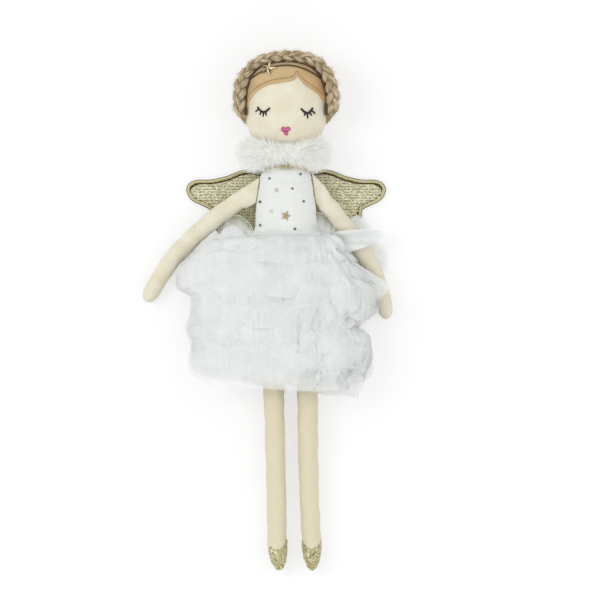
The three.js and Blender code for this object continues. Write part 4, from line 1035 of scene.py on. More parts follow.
def lurex(tree, colours, sizes):
    """Ribbed lurex knit: rows of ribs across the wing, sown with flat metal flakes that catch the light.
    A faint glow stands for what the flakes throw back from every side, also in the shade of the arms."""
    place = add_node(tree, "TexCoord")["Object"]
    ribs = {
        "Vector": place, "Scale": WAVE_PERIOD / sizes.rib,
        "Distortion": 0.9, "Detail": 3.0, "Detail Scale": 2.0,
    }
    rib = add_node(tree, "TexWave", ribs, bands_direction="Y")["Fac"]
    chance = flakes(tree, place, sizes.flake)
    crest = add_node(tree, "MapRange", {"Value": rib, "From Min": 0.1, "From Max": 0.65})["Result"]
    dim = add_node(tree, "MapRange", {"Value": chance["Y"], "To Min": 0.0, "To Max": 0.7})["Result"]
    spark = add_node(tree, "MapRange", {"Value": chance["X"], "From Min": 0.64, "From Max": 0.9})["Result"]
    tone = colours.lurex_groove
    for share, nearer in ((crest, colours.lurex), (dim, colours.lurex_groove), (spark, colours.lurex_spark)):
        tone = add_node(tree, "Mix", {FACTOR: share, A: tone, B: nearer}, data_type="RGBA")[RESULT]
    rough = add_node(tree, "MapRange", {"Value": chance["Z"], "To Min": 0.35, "To Max": 0.65})["Result"]
    height = add_node(tree, "Math", {0: chance["Z"], 1: 0.5, 2: rib}, operation="MULTIPLY_ADD")["Value"]
    return {
        "Base Color": tone,
        "Normal": add_node(tree, "Bump", {"Height": height, "Distance": 0.5 * MM, "Strength": 0.4})["Normal"],
        "Roughness": rough,
        "Metallic": 0.3,
        "Emission Color": linear("#CCC083"),
        "Emission Strength": 0.09,
    }


def shoe_glitter(tree, colours, sizes):
    """Glitter cloth of the toe caps: crowded flakes of olive gold, some pale and some nearly brown."""
    chance = flakes(tree, add_node(tree, "TexCoord")["Object"], 1.3 * sizes.flake)
    dark = add_node(tree, "MapRange", {"Value": chance["X"], "From Min": 0.5, "From Max": 0.95})["Result"]
    pale = add_node(tree, "MapRange", {"Value": chance["Y"], "From Min": 0.62, "From Max": 0.95})["Result"]
    tone = colours.shoe
    for share, nearer in ((dark, linear("#6A6036")), (pale, linear("#E3DDBA"))):
        tone = add_node(tree, "Mix", {FACTOR: share, A: tone, B: nearer}, data_type="RGBA")[RESULT]
    grain = {"Height": chance["Z"], "Distance": 0.5 * MM, "Strength": 0.5}
    return {
        "Base Color": tone,
        "Normal": add_node(tree, "Bump", grain)["Normal"],
        "Metallic": 0.3,
        "Roughness": 0.38,
    }


def foil(tree, tone):
    """Printed metal foil: thin and bright, broken up by the weave below it."""
    place = add_node(tree, "TexCoord")["Object"]
    wear = add_node(tree, "TexNoise", {"Vector": place, "Scale": 1 / (1.2 * MM), "Detail": 3.0})["Fac"]
    share = add_node(tree, "MapRange", {"Value": wear, "From Min": 0.4, "From Max": 0.75})["Result"]
    worn = tuple(mix(channel, 0.8, 0.35) for channel in tone[:3]) + (1.0,)
    shown = add_node(tree, "Mix", {FACTOR: share, A: tuple(tone), B: worn}, data_type="RGBA")[RESULT]
    return {"Base Color": shown, "Metallic": 0.35, "Roughness": 0.4}


def gold_foil(tree, colours, sizes):
    """Gold print of the star."""
    return foil(tree, colours.foil_gold)


def pale_foil(tree, colours, sizes):
    """Pale print of the large dots."""
    return foil(tree, colours.foil_pale)


def dark_foil(tree, colours, sizes):
    """Dark print of the small dots."""
    return foil(tree, colours.foil_dark)


def net(tree, colours, sizes):
    """Soft nylon net: sheer and white, denser in cloudy patches and along its creases, where it is also
    painted greyer as shade, and thinner where it is sewn on, towards its hem and at the sides of the skirt. A
    faint glow stands for the light that its layers hand on to each other."""
    place = add_node(tree, "TexCoord")["Object"]
    stretch = (1 / (8 * MM), 1 / (50 * MM), 1 / (14 * MM))
    along = add_node(tree, "Mapping", {"Vector": place, "Scale": stretch})["Vector"]
    crease = add_node(tree, "TexNoise", {"Vector": along, "Scale": 1.0, "Detail": 3.0})["Fac"]
    crush = add_node(tree, "TexNoise", {"Vector": place, "Scale": 1 / (26 * MM), "Detail": 2.0})["Fac"]
    mesh = add_node(tree, "TexNoise", {"Vector": place, "Scale": 1 / (1.1 * MM), "Detail": 0.0})["Fac"]
    cloud = add_node(tree, "Math", {0: crush, 1: crease}, operation="ADD")["Value"]
    cloud = add_node(tree, "Math", {0: mesh, 1: 0.12, 2: cloud}, operation="MULTIPLY_ADD")["Value"]
    # Greyer along the creases: painted shade
    shade = add_node(tree, "MapRange", {"Value": crease, "From Min": 0.3, "From Max": 0.75})["Result"]
    tone = add_node(tree, "Mix", {FACTOR: shade, A: colours.net, B: linear("#E6E9E6")}, data_type="RGBA")
    uv = add_node(tree, "SeparateXYZ", {"Vector": add_node(tree, "UVMap")["UV"]})
    aside = add_node(tree, "Math", {0: uv["X"], 1: 0.5}, operation="SUBTRACT")["Value"]
    aside = add_node(tree, "Math", {0: aside}, operation="ABSOLUTE")["Value"]
    # Cover of the plain net, and what its hem, its sides and its sewn edge leave of it
    thin, dense = sizes.net_cover - 0.14, sizes.net_cover + 0.14
    fades = (
        (cloud, 0.8, 1.5, thin, dense),
        (uv["Y"], 0.7, 1.7, 1.0, 0.0),
        (aside, 0.0, 0.18, 0.2, 1.0),
        (uv["Y"], 0.0, 0.3, 0.1, 1.0),
    )
    shares = []
    for value, start, end, low, high in fades:
        fade = {"Value": value, "From Min": start, "From Max": end, "To Min": low, "To Max": high}
        shares.append(add_node(tree, "MapRange", fade)["Result"])
    cover = shares[0]
    for left in shares[1:]:
        cover = add_node(tree, "Math", {0: cover, 1: left}, operation="MULTIPLY")["Value"]
    return {
        "Base Color": tone[RESULT],
        "Alpha": cover,
        "Roughness": 0.75,
        "Specular IOR Level": 0.2,
        "Emission Color": colours.net,
        "Emission Strength": 0.07,
    }


FINISHES = {
    "unbleached_muslin": muslin,
    "bleached_cotton": cotton,
    "wool_felt": felt,
    "spun_wool_yarn": yarn,
    "shadow_brown_wool": shadow_brown_yarn,
    "gilt_cord": gilt_cord,
    "dark_gilt_cord": band_cord,
    "lurex_piping": piping_cord,
    "gilded_zinc": star_metal,
    "black_floss": eye_floss,
    "pink_floss": lip_floss,
    "rose_floss": lip_line_floss,
    "tan_thread": hair_thread,
    "acrylic_fur": fur_pile,
    "ribbed_lurex": lurex,
    "olive_shadow_thread": shadow_groove_thread,
    "glitter_cloth": shoe_glitter,
    "gold_foil_print": gold_foil,
    "pale_foil_print": pale_foil,
    "dark_foil_print": dark_foil,
    "nylon_net": net,
}


def finish(name):
    """The material of that name, made when it is first asked for."""
    made = bpy.data.materials.get(name)
    if made is None:
        made = bpy.data.materials.new(name)
        made.use_nodes = True
        tree = made.node_tree
        scene = bpy.context.scene
        fill(tree, tree.nodes["Principled BSDF"], FINISHES[name](tree, scene.doll_colours, scene.doll_sizes))
    return made


def on_form(form, shape, x, height, lift):
    """Lays a flat shape, given as (across, up) offsets, on the front of a straight form."""
    return form.in_front(x + shape[..., 0], height + shape[..., 1], lift)


def disc(radius, columns, rings=5):
    """A flat disc, or a star where each column has its own radius, as rings of (across, up) offsets."""
    angle = turn_angles(columns)
    share = np.linspace(0, 1, rings)[:, None]
    return np.stack([share * radius * np.cos(angle), share * radius * np.sin(angle)], -1)


def star_radius(outer, inner, turn, columns):
    """Reach of a five-pointed star at each angle: straight sides run between its outer and inner points."""
    fifth = FULL_TURN / 5
    away = np.abs((turn_angles(columns) - turn + fifth / 2) % fifth - fifth / 2)
    side = outer * inner * np.sin(fifth / 2)
    return side / (inner * np.sin(fifth / 2 - away) + outer * np.sin(away))


class DOLL_OT_body(bpy.types.Operator):
    """Sew the bodice skin and print its star and dots"""

    bl_idname = "doll.body"
    bl_label = "Body"

    def execute(self, context):
        skin = stuffed_skin(BODY, places(BODY, 70, 10), 120, 0.4, 11, BODICE_CREASES)
        piece = make_piece("bodice", skin, finish("bleached_cotton"))
        dress(piece, "torso", "cotton", "bodice_front", "bodice_back", "body_stuffing", "hip_seam")
        self.print_dots("dark", DARK_DOTS)
        self.print_dots("pale", PALE_DOTS)
        self.print_star()
        return {"FINISHED"}

    def print_dots(self, tone, dots):
        """Round dots laid on the front of the bodice."""
        shapes = [
            surface(on_form(BODY, disc(radius, 20), x, height, DOT_LIFT), round_columns=True)
            for x, height, radius in dots
        ]
        piece = make_piece(f"printed_{tone}_dots", joined(shapes), finish(f"{tone}_foil_print"), closed=False)
        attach(piece, "torso")

    def print_star(self):
        """A five-pointed star laid on the front of the bodice."""
        star = disc(star_radius(PRINT_STAR_OUTER, PRINT_STAR_INNER, PRINT_STAR_TURN, 60), 60, 8)
        shape = surface(on_form(BODY, star, 0, PRINT_STAR_HEIGHT, PRINT_STAR_LIFT), round_columns=True)
        piece = make_piece("printed_star", shape, finish("gold_foil_print"), closed=False)
        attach(piece, "torso")


class DOLL_OT_head(bpy.types.Operator):
    """Sew the stuffed head and embroider its face"""

    bl_idname = "doll.head"
    bl_label = "Head"

    def execute(self, context):
        skin = stuffed_skin(HEAD, places(HEAD, 40, 40), 144, 0.28, 3)
        piece = make_piece("head", skin, finish("unbleached_muslin"))
        dress(piece, "head", "muslin", "head_front", "head_back", "head_stuffing")
        for name, (lid, lashes) in EYES.items():
            self.embroider_eye(name, lid, lashes)
        self.embroider_lips()
        return {"FINISHED"}

    def embroider_eye(self, name, lid, lashes):
        """A curved lid and its lashes, each a thread laid on the face and tapered to its end."""
        shapes = [self.thread(lid, 40, EYE_THREAD, 0.9)]
        shapes += [self.thread(lash, 10, LASH_THREAD, 0.75) for lash in lashes]
        piece = make_piece(f"{name}_floss", joined(shapes), finish("black_floss"))
        dress(piece, "head", "thread", name)

    def thread(self, spots, count, thick, end_share, lift=0.25):
        """A thread through some spots of the face, whose radius falls to a share of itself at the end."""
        flat = smooth_line(spots, count)
        path = HEAD.in_front(flat[:, 0], flat[:, 1] - FACE_DROP, lift)
        radius = thick * mix(1, end_share, np.linspace(0, 1, count) ** 2)
        return tube(path, radius, 10, UP)

    def embroider_lips(self):
        """Four overlapping domes of stitches: lift = edge + rise sqrt(1 - r^2) over an ellipse."""
        share = np.linspace(0, 1, LIP_RINGS)[:, None]
        lift = LIP_EDGE + LIP_RISE * np.sqrt(np.clip(1 - share**2, 0, 1)) * np.ones((1, LIP_COLUMNS))
        shapes = []
        for x, height, half_width, half_height in LIP_LOBES:
            spread = disc(1, LIP_COLUMNS, LIP_RINGS) * np.array((half_width, half_height))
            dome = on_form(HEAD, spread, x, height, lift)
            under = on_form(HEAD, spread[::-1], x, height, -LIP_ROOT)
            shapes.append(surface(np.concatenate([dome, under]), round_columns=True, uv_size=(6, 6)))
        piece = make_piece("lips_floss", joined(shapes), finish("pink_floss"))
        dress(piece, "head", "lip_thread", "lips")
        # The lines along the top of the upper lip and under the lower lip are painted shadow
        lines = [
            self.thread(spots, 24, LIP_LINE_THREAD, 0.8, lift)
            for spots, lift in zip(LIP_LINES, LIP_LINE_LIFTS)
        ]
        piece = make_piece("lips_outline", joined(lines), finish("rose_floss"))
        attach(piece, "head")


class DOLL_OT_hair(bpy.types.Operator):
    """Cut the felt hair, stitch its hairline and set the headband and star on it"""

    bl_idname = "doll.hair"
    bl_label = "Hair"

    def execute(self, context):
        front = np.linspace(0, np.pi, 140)
        back = np.linspace(np.pi, FULL_TURN, 90)
        self.felt_piece("hair_front", front, profile(HAIRLINE, np.cos(front)))
        self.felt_piece("hair_back", back, HAIR_BACK_EDGE - HAIR_BACK_DIP * np.sin(back - np.pi))
        self.stitch_hairline(context.scene.doll_sizes.stitch / MM)
        self.headband()
        self.star()
        return {"FINISHED"}

    def felt_piece(self, name, angle, low):
        """Felt from an edge, a height at each angle, up to the crown: its outer face and cut edge."""
        low = low / HEAD_LENGTH
        share = np.sin(np.linspace(0, np.pi / 2, 40))[:, None]
        u = mix(low[None, :], 1, share)
        outer = HEAD.at(-FELT_LIFT - FELT, u, angle[None, :])
        outer = outer + normals(outer) * (FELT_WAVE * ripple(outer, FELT_WAVE_LENGTH, 21))[..., None]
        middle = HEAD.at(-FELT_LIFT - 0.5 * FELT, u[:1] - 0.5 / HEAD_LENGTH, angle[None, :])
        under = HEAD.at(-0.1, u[:1], angle[None, :])
        shape = surface(np.concatenate([outer[::-1], middle, under]), uv_size=(120, 100))
        piece = make_piece(f"{name}_felt", shape, finish("wool_felt"), closed=False, weld=True)
        dress(piece, "head", "felt", name)

    def stitch_hairline(self, stitch):
        """Short stitches on a line just inside the hairline, each 9 of the 12 points from one to the next."""
        angle = np.linspace(0.09 * np.pi, 0.93 * np.pi, 400)
        height = profile(HAIRLINE, np.cos(angle)) + HAIR_STITCH_INSET
        line = HEAD.at(-FELT_LIFT - FELT - 0.1, height / HEAD_LENGTH, angle)
        count = int(length_of(line) / (HAIR_STITCH_PITCH * stitch))
        steps = even(line, 12 * count)
        shapes = [tube(steps[12 * k : 12 * k + 9], HAIR_STITCH_RADIUS, 6, UP) for k in range(count)]
        piece = make_piece("hair_stitching", joined(shapes), finish("tan_thread"))
        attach(piece, "head")

    def headband(self):
        """A twisted cord over the felt, at a height that drops with the square of the place across."""
        x = np.linspace(-BAND_HALF_SPAN, BAND_HALF_SPAN, 90)
        height = HEAD_LENGTH - BAND_DROP - BAND_BEND * x * x
        path = even(HEAD.in_front(x, height, FELT_TOP + BAND_RADIUS), 260)
        shape = tube(path, BAND_RADIUS, 12, UP, plies=3, groove=0.22, pitch=4.5)
        piece = make_piece("headband_twist", shape, finish("dark_gilt_cord"))
        dress(piece, "head", "gold_cord", "headband_cord")

    def star(self):
        """A five-pointed star whose faces rise from the rim to a ridge and a peak. It rests on the cord, and
        leans from square to the felt a little towards the front."""
        x, height = STAR_AT
        lift = FELT_TOP + 2 * BAND_RADIUS
        centre = HEAD.in_front(x, height, lift)
        across = HEAD.in_front(x + 1, height, lift) - centre
        rough_up = HEAD.in_front(x, height + 1, lift) - centre
        normal = unit(unit(np.cross(across, rough_up)) + STAR_LEAN * UP)
        upward = unit(np.cross(normal, across))
        right = np.cross(upward, normal)
        angle = STAR_TURN + turn_angles(10) + np.pi / 2
        reach = np.where(np.arange(10) % 2, STAR_INNER, 1.0) * STAR_RADIUS
        rings = [
            centre
            + right * (share * reach * np.cos(angle))[:, None]
            + upward * (share * reach * np.sin(angle))[:, None]
            + normal * level
            for share, level in STAR_RISE
        ]
        shape = surface(np.array(rings), round_columns=True)
        piece = make_piece("gilded_star", shape, finish("gilded_zinc"), smooth=False)
        dress(piece, "head", "star", "headband_star")


class DOLL_OT_plait(bpy.types.Operator):
    """Plait three yarn strands into a crown"""

    bl_idname = "doll.plait"
    bl_label = "Plait"

    def execute(self, context):
        line = self.crown_line(PLAIT_OFFSET)
        for strand in range(3):
            self.strand(line, strand)
        self.seam()
        return {"FINISHED"}

    def crown_line(self, lift):
        """The level line, a set depth in front of the side seam, on the head grown by a lift."""
        grown = HEAD_FRONT[-1][1] + lift
        bend = (1 - (PLAIT_FORWARD / grown) ** HEAD_POWER) ** (1 / HEAD_POWER)
        top = 1 - HEAD.rounding / HEAD.length * (1 - bend)
        u = mix(PLAIT_END / HEAD_LENGTH, top, np.sin(np.linspace(0, np.pi / 2, 120)))
        deep = (profile(HEAD_FRONT, u * HEAD_LENGTH) + lift) * HEAD.rounded(u)[0]
        side = HEAD.at(-lift, u, np.arcsin(np.clip(PLAIT_FORWARD / deep, 0, 1)))
        mirrored = side * np.array((-1, 1, 1))
        return even(np.concatenate([mirrored[:-1], side[::-1]]), 420)

    def seam(self):
        """A dark yarn along the plait's inner side: painted shadow between the plait and the felt."""
        line = self.crown_line(FELT_TOP + PLAIT_SHADOW_LIFT)[18:-18]
        piece = make_piece("plait_painted_shadow", tube(line, PLAIT_SHADOW_RADIUS, 8, UP), finish("shadow_brown_wool"))
        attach(piece, "head")

    def strand(self, line, strand):
        """One strand: out by a sin p and forward by b sin 2p, with p a third of a turn apart for each strand,
        tapered and drawn back behind the head at both ends."""
        share = np.linspace(0, 1, len(line))
        along = unit(np.gradient(line, axis=0))
        inward = unit(np.cross(along, UP))
        end = ease(np.minimum(share, 1 - share) / PLAIT_TAPER)
        phase = FULL_TURN * (PLAIT_TURNS * share + strand / 3)
        full = profile(PLAIT_FULLNESS, share)
        swing = mix(PLAIT_END_SWING, 1, end) * full
        shift = PLAIT_THIN_SHIFT * (1 - full) + swing * PLAIT_HALF_WIDTH * np.sin(phase)
        path = line + inward * shift[:, None]
        path = path + UP * (swing * PLAIT_HALF_DEPTH * np.sin(2 * phase))[:, None]
        path = path - UP * (PLAIT_END_DROP * (1 - end))[:, None]
        path[:, 0] -= np.sign(path[:, 0]) * PLAIT_END_TUCK * (1 - end) ** 2
        radius = STRAND_RADIUS * full * mix(PLAIT_END_THICKNESS, 1, end) * (1 + 0.05 * np.sin(3 * phase))
        shape = tube(path, radius, 54, UP, plies=STRAND_PLIES, groove=0.2, pitch=STRAND_PITCH)
        name = f"plait_strand_{strand + 1}"
        piece = make_piece(f"{name}_yarn", shape, finish("spun_wool_yarn"))
        dress(piece, "head", "yarn", name)
        self.fuzz(name, path, radius, strand)

    def fuzz(self, name, path, radius, strand):
        """Loose fibres that lie along a strand and lift a little off it."""
        draw = np.random.default_rng(70 + strand)
        at = draw.integers(4, len(path) - 4, FUZZ_COUNT)
        along = unit(np.gradient(path, axis=0))[at]
        out = unit(np.cross(along, draw.normal(size=(FUZZ_COUNT, 3))))
        root = path[at] + out * (FUZZ_ROOT * radius[at])[:, None]
        heading = unit(along * np.sign(draw.normal(size=(FUZZ_COUNT, 1))) + FUZZ_LIFT * out)
        length = draw.uniform(*FUZZ_LENGTH, FUZZ_COUNT)
        shape = blades(root, heading, length, FUZZ_WIDTH, FUZZ_BEND * out, 80 + strand)
        piece = make_piece(f"{name}_fuzz", shape, finish("spun_wool_yarn"), closed=False)
        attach(piece, "head")


class DOLL_OT_collar(bpy.types.Operator):
    """Grow the fur collar and tie the gilt cord and bow below it"""

    bl_idname = "doll.collar"
    bl_label = "Collar"

    def execute(self, context):
        sizes = context.scene.doll_sizes
        self.fur(sizes.fur_count, sizes.fur_length / MM)
        self.neck_cord()
        return {"FINISHED"}

    def ring(self, turn, roll):
        """Point and outward direction of the collar's roll: an ellipse carried round the flattened neck,
        which sits lower and is thinner under the chin."""
        away = COLLAR_RING + COLLAR_ROLL * np.cos(roll)
        chin = ease(1.6 * np.sin(turn) - 0.6)
        half_height = COLLAR_HALF_HEIGHT * (1 - COLLAR_CHIN_THIN * chin)
        height = COLLAR_Y - COLLAR_CHIN_DROP * chin + half_height * np.sin(roll)
        depth = AXIS_Z + COLLAR_FLATTEN * away * np.sin(turn)
        point = np.stack([COLLAR_X + away * np.cos(turn), height, depth], -1)
        out = np.stack([np.cos(roll) * np.cos(turn), 0.9 * np.sin(roll), np.cos(roll) * np.sin(turn)], -1)
        return point, unit(out)

    def fur(self, count, longest):
        """Backing cloth and a pile of fibres, combed outwards at the sides, trimmed above and below, and
        longest at the two sides of the neck."""
        skin, out = self.ring(*np.broadcast_arrays(turn_angles(96)[:, None], turn_angles(32)[None, :]))
        skin = skin + out * (0.8 * ripple(skin, 9, 31))[..., None]
        skin[..., 2] = np.maximum(skin[..., 2], FUR_FLOOR)
        backing = surface(skin, round_columns=True, round_rows=True, uv_size=(60, 1000))
        draw = np.random.default_rng(32)
        turns = draw.uniform(0, FULL_TURN, count)
        rolls = draw.uniform(-FUR_ROLL, FUR_ROLL, count)
        root, out = self.ring(turns, rolls)
        round_neck = np.stack([-np.sin(turns), np.zeros(count), np.cos(turns)], -1)
        swirl = np.sin(3 * turns)[:, None] * round_neck
        combed = FUR_COMBED * np.cos(turns)[:, None] * np.array((1.0, 0, 0))
        heading = unit(out + FUR_RUFFLED * draw.normal(size=(count, 3)) + FUR_SWIRL * swirl + combed)
        trim = mix(1, np.where(rolls > 0, *FUR_TRIM), np.abs(np.sin(rolls)))
        beside = ease(np.abs(np.cos(turns)) / 0.7)
        length = longest * draw.uniform(0.5, 1, count) * mix(trim, FUR_BESIDE, beside)
        droop = np.tile(FUR_DROOP, (count, 1))
        pile, faces, uv = blades(root, heading, length, FUR_WIDTH, droop, 33)
        pile[:, 2] = np.maximum(pile[:, 2], FUR_FLOOR)
        shape = joined([backing, (pile, faces, uv)])
        piece = make_piece("collar_pile", shape, finish("acrylic_fur"), closed=False)
        dress(piece, "torso", "fur", "fur_collar")
        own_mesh(piece)

    def neck_cord(self):
        """A cord round the neck that dips in front, and its bow: a figure of eight, x = a sin t and
        y = b sin 2t, with a round knot and two tails."""
        turn = turn_angles(220)
        height = CORD_HEIGHT + CORD_DIP * np.sin(turn) ** 3
        path = BODY.at(-CORD_RADIUS - CORD_GAP, height / BODY_LENGTH, turn)
        shape = tube(path, CORD_RADIUS, 12, ALONG, closed=True, plies=3, groove=CORD_GROOVE, pitch=5)
        dress(make_piece("neck_twist", shape, finish("gilt_cord")), "torso", "gold_cord", "neck_cord")
        front = path[len(path) // 4] + np.array(BOW_AT)
        thread = {"plies": 3, "groove": CORD_GROOVE, "pitch": 4}
        t = turn_angles(160)
        bow = front + np.stack([np.sin(t), np.sin(2 * t), np.cos(t)], -1) * BOW_LOOPS
        knot = front + np.stack([np.cos(t), np.sin(t), np.cos(t)], -1) * BOW_KNOT + BOW_KNOT_LIFT * UP
        shapes = [tube(line, BOW_RADIUS, 10, UP, closed=True, **thread) for line in (bow, knot)]
        for side in (-1, 1):
            tail = smooth_line([front, *(front + np.array(BOW_TAIL) * (side, 1, 1))], 40)
            shapes.append(tube(tail, BOW_TAIL_RADIUS, 10, UP, **thread))
        piece = make_piece("neck_bow_twist", joined(shapes), finish("gilt_cord"))
        dress(piece, "torso", "gold_cord", "neck_bow")


def limb(root, bends, half_width, half_depth, rounding, seam):
    """A stuffed limb along a smooth line from its root through its bends."""
    line = smooth_line([root, *bends], 160)
    length = length_of(line)
    depth = scaled(half_depth, length)
    return StuffedForm(line, scaled(half_width, length), depth, depth, rounding, seam=seam)


class DOLL_OT_arms(bpy.types.Operator):
    """Sew the two stuffed arms into the side seams"""

    bl_idname = "doll.arms"
    bl_label = "Arms"

    def execute(self, context):
        for side, sign in SIDES:
            hinge = JOINT_AT[f"shoulder_{side}"]
            down = sign * JOINT_AXIS[f"shoulder_{side}"]
            away = np.cross(down, UP)
            away = away * np.sign(away[0]) * sign
            start = hinge - ARM_SET_IN * away
            bends = [
                (start[0] + sign * (out + ARM_SET_IN), start[1] - drop, z) for out, drop, z in ARM_BENDS[side]
            ]
            rise, half_width = ARM_ROOT[side]
            widths = ((0, half_width), *ARM_HALF_WIDTH)
            form = limb(start - rise * down, bends, widths, ARM_HALF_DEPTH, ARM_ROUNDING, sign * down)
            skin = stuffed_skin(form, places(form, 110, 16), 60, 0.32, 40 + sign, ARM_CREASES)
            piece = make_piece(f"arm_{side}", skin, finish("unbleached_muslin"))
            nodes = [f"arm_{side}_{part}" for part in ("front", "back", "stuffing")]
            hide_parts(*nodes, f"shoulder_seam_{side}")
            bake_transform(piece)
        return {"FINISHED"}


class DOLL_OT_legs(bpy.types.Operator):
    """Sew the two stuffed legs into the bottom seam and cap their toes with glitter cloth"""

    bl_idname = "doll.legs"
    bl_label = "Legs"

    def execute(self, context):
        for side, sign in SIDES:
            hinge = np.array((LEG_ROOT_X[side], HIP_HINGE_Y, AXIS_Z))
            bends = [(x, HIP_HINGE_Y - LEG_SEAM_GAP - drop, z) for x, drop, z in LEG_BENDS[side]]
            seam = np.array((-1.0, 0, 0))
            form = limb(hinge + LEG_SET_IN * ALONG, bends, LEG_HALF_WIDTH, LEG_HALF_DEPTH, LEG_ROUNDING, seam)
            skin = stuffed_skin(form, places(form, 150, 20), 72, 0.3, 50 + sign, LEG_CREASES)
            piece = make_piece(f"leg_{side}", skin, finish("unbleached_muslin"))
            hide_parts(*(f"leg_{side}_{part}" for part in ("front", "back", "stuffing")))
            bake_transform(piece)
            self.shoe(side, form)
        return {"FINISHED"}

    def shoe(self, side, form):
        """A toe cap from a top line that dips in front: its place is 1 - (length - dip sin^2 a) / leg
        length."""
        angle = turn_angles(72)[None, :]
        top = 1 - (SHOE_LENGTH - SHOE_DIP * np.maximum(np.sin(angle), 0) ** 2) / form.length
        share = np.sin(np.linspace(0, np.pi / 2, 30))[:, None]
        outer = form.at(-SHOE_LIFT, mix(top, 1, share), angle)
        outer = outer + normals(outer, True) * (SHOE_GRAIN * ripple(outer, 6, 61))[..., None]
        edge = form.at(-0.5 * SHOE_LIFT, top - 0.5 / form.length, angle)
        inner = form.at(SHOE_ROOT, mix(top, 1, share), angle)
        grid = np.concatenate([outer[::-1], edge, inner])
        shape = surface(grid, round_columns=True, uv_size=(60, 60))
        piece = make_piece(f"shoe_{side}_cap", shape, finish("glitter_cloth"))
        dress(piece, f"leg_{side}", "glitter", f"shoe_{side}")


class DOLL_OT_wings(bpy.types.Operator):
    """Pad and pipe the two wings, lay dark threads of painted shadow along the piping, and make the middle
    that joins them
    """

    bl_idname = "doll.wings"
    bl_label = "Wings"

    def execute(self, context):
        reach = np.array(WING_EDGE, float)
        rise = np.where(reach[:, 1] > 0, WING_RISE, WING_FALL)
        start = JOINT_AT["wing_left"][0] + WING_HINGE_GAP
        edge = smooth_line(np.stack([mix(start, WING_REACH, reach[:, 0]), reach[:, 1] * rise], -1), 240)
        along = unit(np.gradient(edge, axis=0))
        inward = np.stack([along[:, 1], -along[:, 0]], -1)
        for side, sign in SIDES:
            self.wing(side, sign, edge, inward)
        self.middle()
        return {"FINISHED"}

    def wing(self, side, sign, edge, inward):
        """Panels, piping and the dark threads of painted shadow along the piping of one wing."""
        panels = make_piece(f"wing_{side}_panels", self.panels(sign, edge, inward), finish("ribbed_lurex"))
        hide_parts(*(f"wing_{side}_{part}" for part in ("front", "back", "padding")))
        route = even(self.raised(edge, PIPING_LEVEL, sign), 700)
        cord = tube(route, PIPING_RADIUS, 14, UP, plies=3, groove=0.16, pitch=7)
        piping = make_piece(f"wing_{side}_cord", cord, finish("lurex_piping"))
        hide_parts(f"wing_{side}_piping")
        # Dark threads along the piping: painted shadow
        stitches = self.stitches(sign, edge, inward)
        shadow_threads = make_piece(f"wing_{side}_stitching", stitches, finish("olive_shadow_thread"))
        for piece in (panels, piping, shadow_threads):
            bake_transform(piece)

    def panels(self, sign, edge, inward):
        """Padded front and flat back: the front is full in the middle, thinner by a power of the way out to
        the rim, flat at the root, and puckered along the stitches inside the piping."""
        centre = np.array((mix(WING_ROOT_X, WING_REACH, WING_MIDDLE_SHARE), 0))
        rim = edge + 0.9 * PIPING_RADIUS * inward
        share = np.concatenate([np.linspace(0, 0.86, 22), np.linspace(0.88, 1, 12)])[:, None]
        flat = centre + share[..., None] * (rim[None] - centre)
        full = mix(WING_EDGE_THICK, WING_THICK, 1 - share**WING_FULLNESS)
        root = ease((flat[..., 0] - WING_ROOT_X - WING_ROOT_FLAT) / WING_ROOT_SLOPE)
        top = mix(np.minimum(WING_ROOT_THICK, full), full, root)
        walked = np.linspace(0, length_of(edge), len(edge))[None, :]
        pucker = np.exp(-(((share - PUCKER_AT) / PUCKER_WIDTH) ** 2))
        stitch = PUCKER_DEPTH + PUCKER_SWING * np.sin(FULL_TURN * walked / PUCKER_PITCH)
        top = top - pucker * stitch * root
        crown = np.concatenate([flat, top[..., None]], -1)
        lumps = WING_LUMP * ripple(crown, WING_LUMP_LENGTH, 91) * (1 - share)
        crown = crown + UP * lumps[..., None]
        back = np.concatenate([flat, np.full(flat.shape[:2] + (1,), WING_BACK_LEVEL)], -1)
        grid = np.concatenate([crown, back[::-1]]) * np.array((sign, 1, 1))
        return surface(grid, round_columns=True, uv_size=(300, 100))

    def stitches(self, sign, edge, inward):
        """Painted shadow along the piping: a dark welt below it, and a dark thread in the stitched ditch
        inside it, which is wider along the top where the piping shades the panel.
        """
        upper = ease(0.5 - inward[:, 1])
        welt = tube(self.raised(edge, SHADOW_WELT_RADIUS + SHADOW_WELT_GAP, sign), SHADOW_WELT_RADIUS, 12, UP)
        ditch = self.raised(edge + DITCH_INSET * inward, WING_EDGE_THICK - DITCH_DEPTH, sign)
        return joined([welt, tube(ditch, mix(0.5, 1, upper), 8, UP)])

    def raised(self, flat, level, sign):
        """A flat line of one wing at a level above the ground, mirrored for the other wing."""
        return np.concatenate([flat, np.full((len(flat), 1), level)], -1) * np.array((sign, 1, 1))

    def middle(self):
        """A pillow: x = a cos(v)^0.6 c(u), y = b cos(v)^0.6 s(u) and z = h sin(v), where c and s are the
        signed square roots of the cosine and sine."""
        low, high = box("wing_middle")
        half = 0.5 * (high - low) + (PILLOW_OVERLAP, 0, 0)
        centre = 0.5 * (high + low)
        u = turn_angles(72)[None, :]
        v = np.linspace(-np.pi / 2, np.pi / 2, 24)[:, None]
        x = half[0] * np.cos(v) ** 0.6 * (np.sign(np.cos(u)) * np.abs(np.cos(u)) ** 0.5)
        y = half[1] * np.cos(v) ** 0.6 * (np.sign(np.sin(u)) * np.abs(np.sin(u)) ** 0.5)
        z = half[2] * np.sin(v) * np.ones_like(u)
        shape = surface(centre + np.stack([x, y, z], -1), round_columns=True, uv_size=(100, 30))
        piece = make_piece("wing_middle_pillow", shape, finish("ribbed_lurex"))
        dress(piece, "torso", "glitter", "wing_middle")


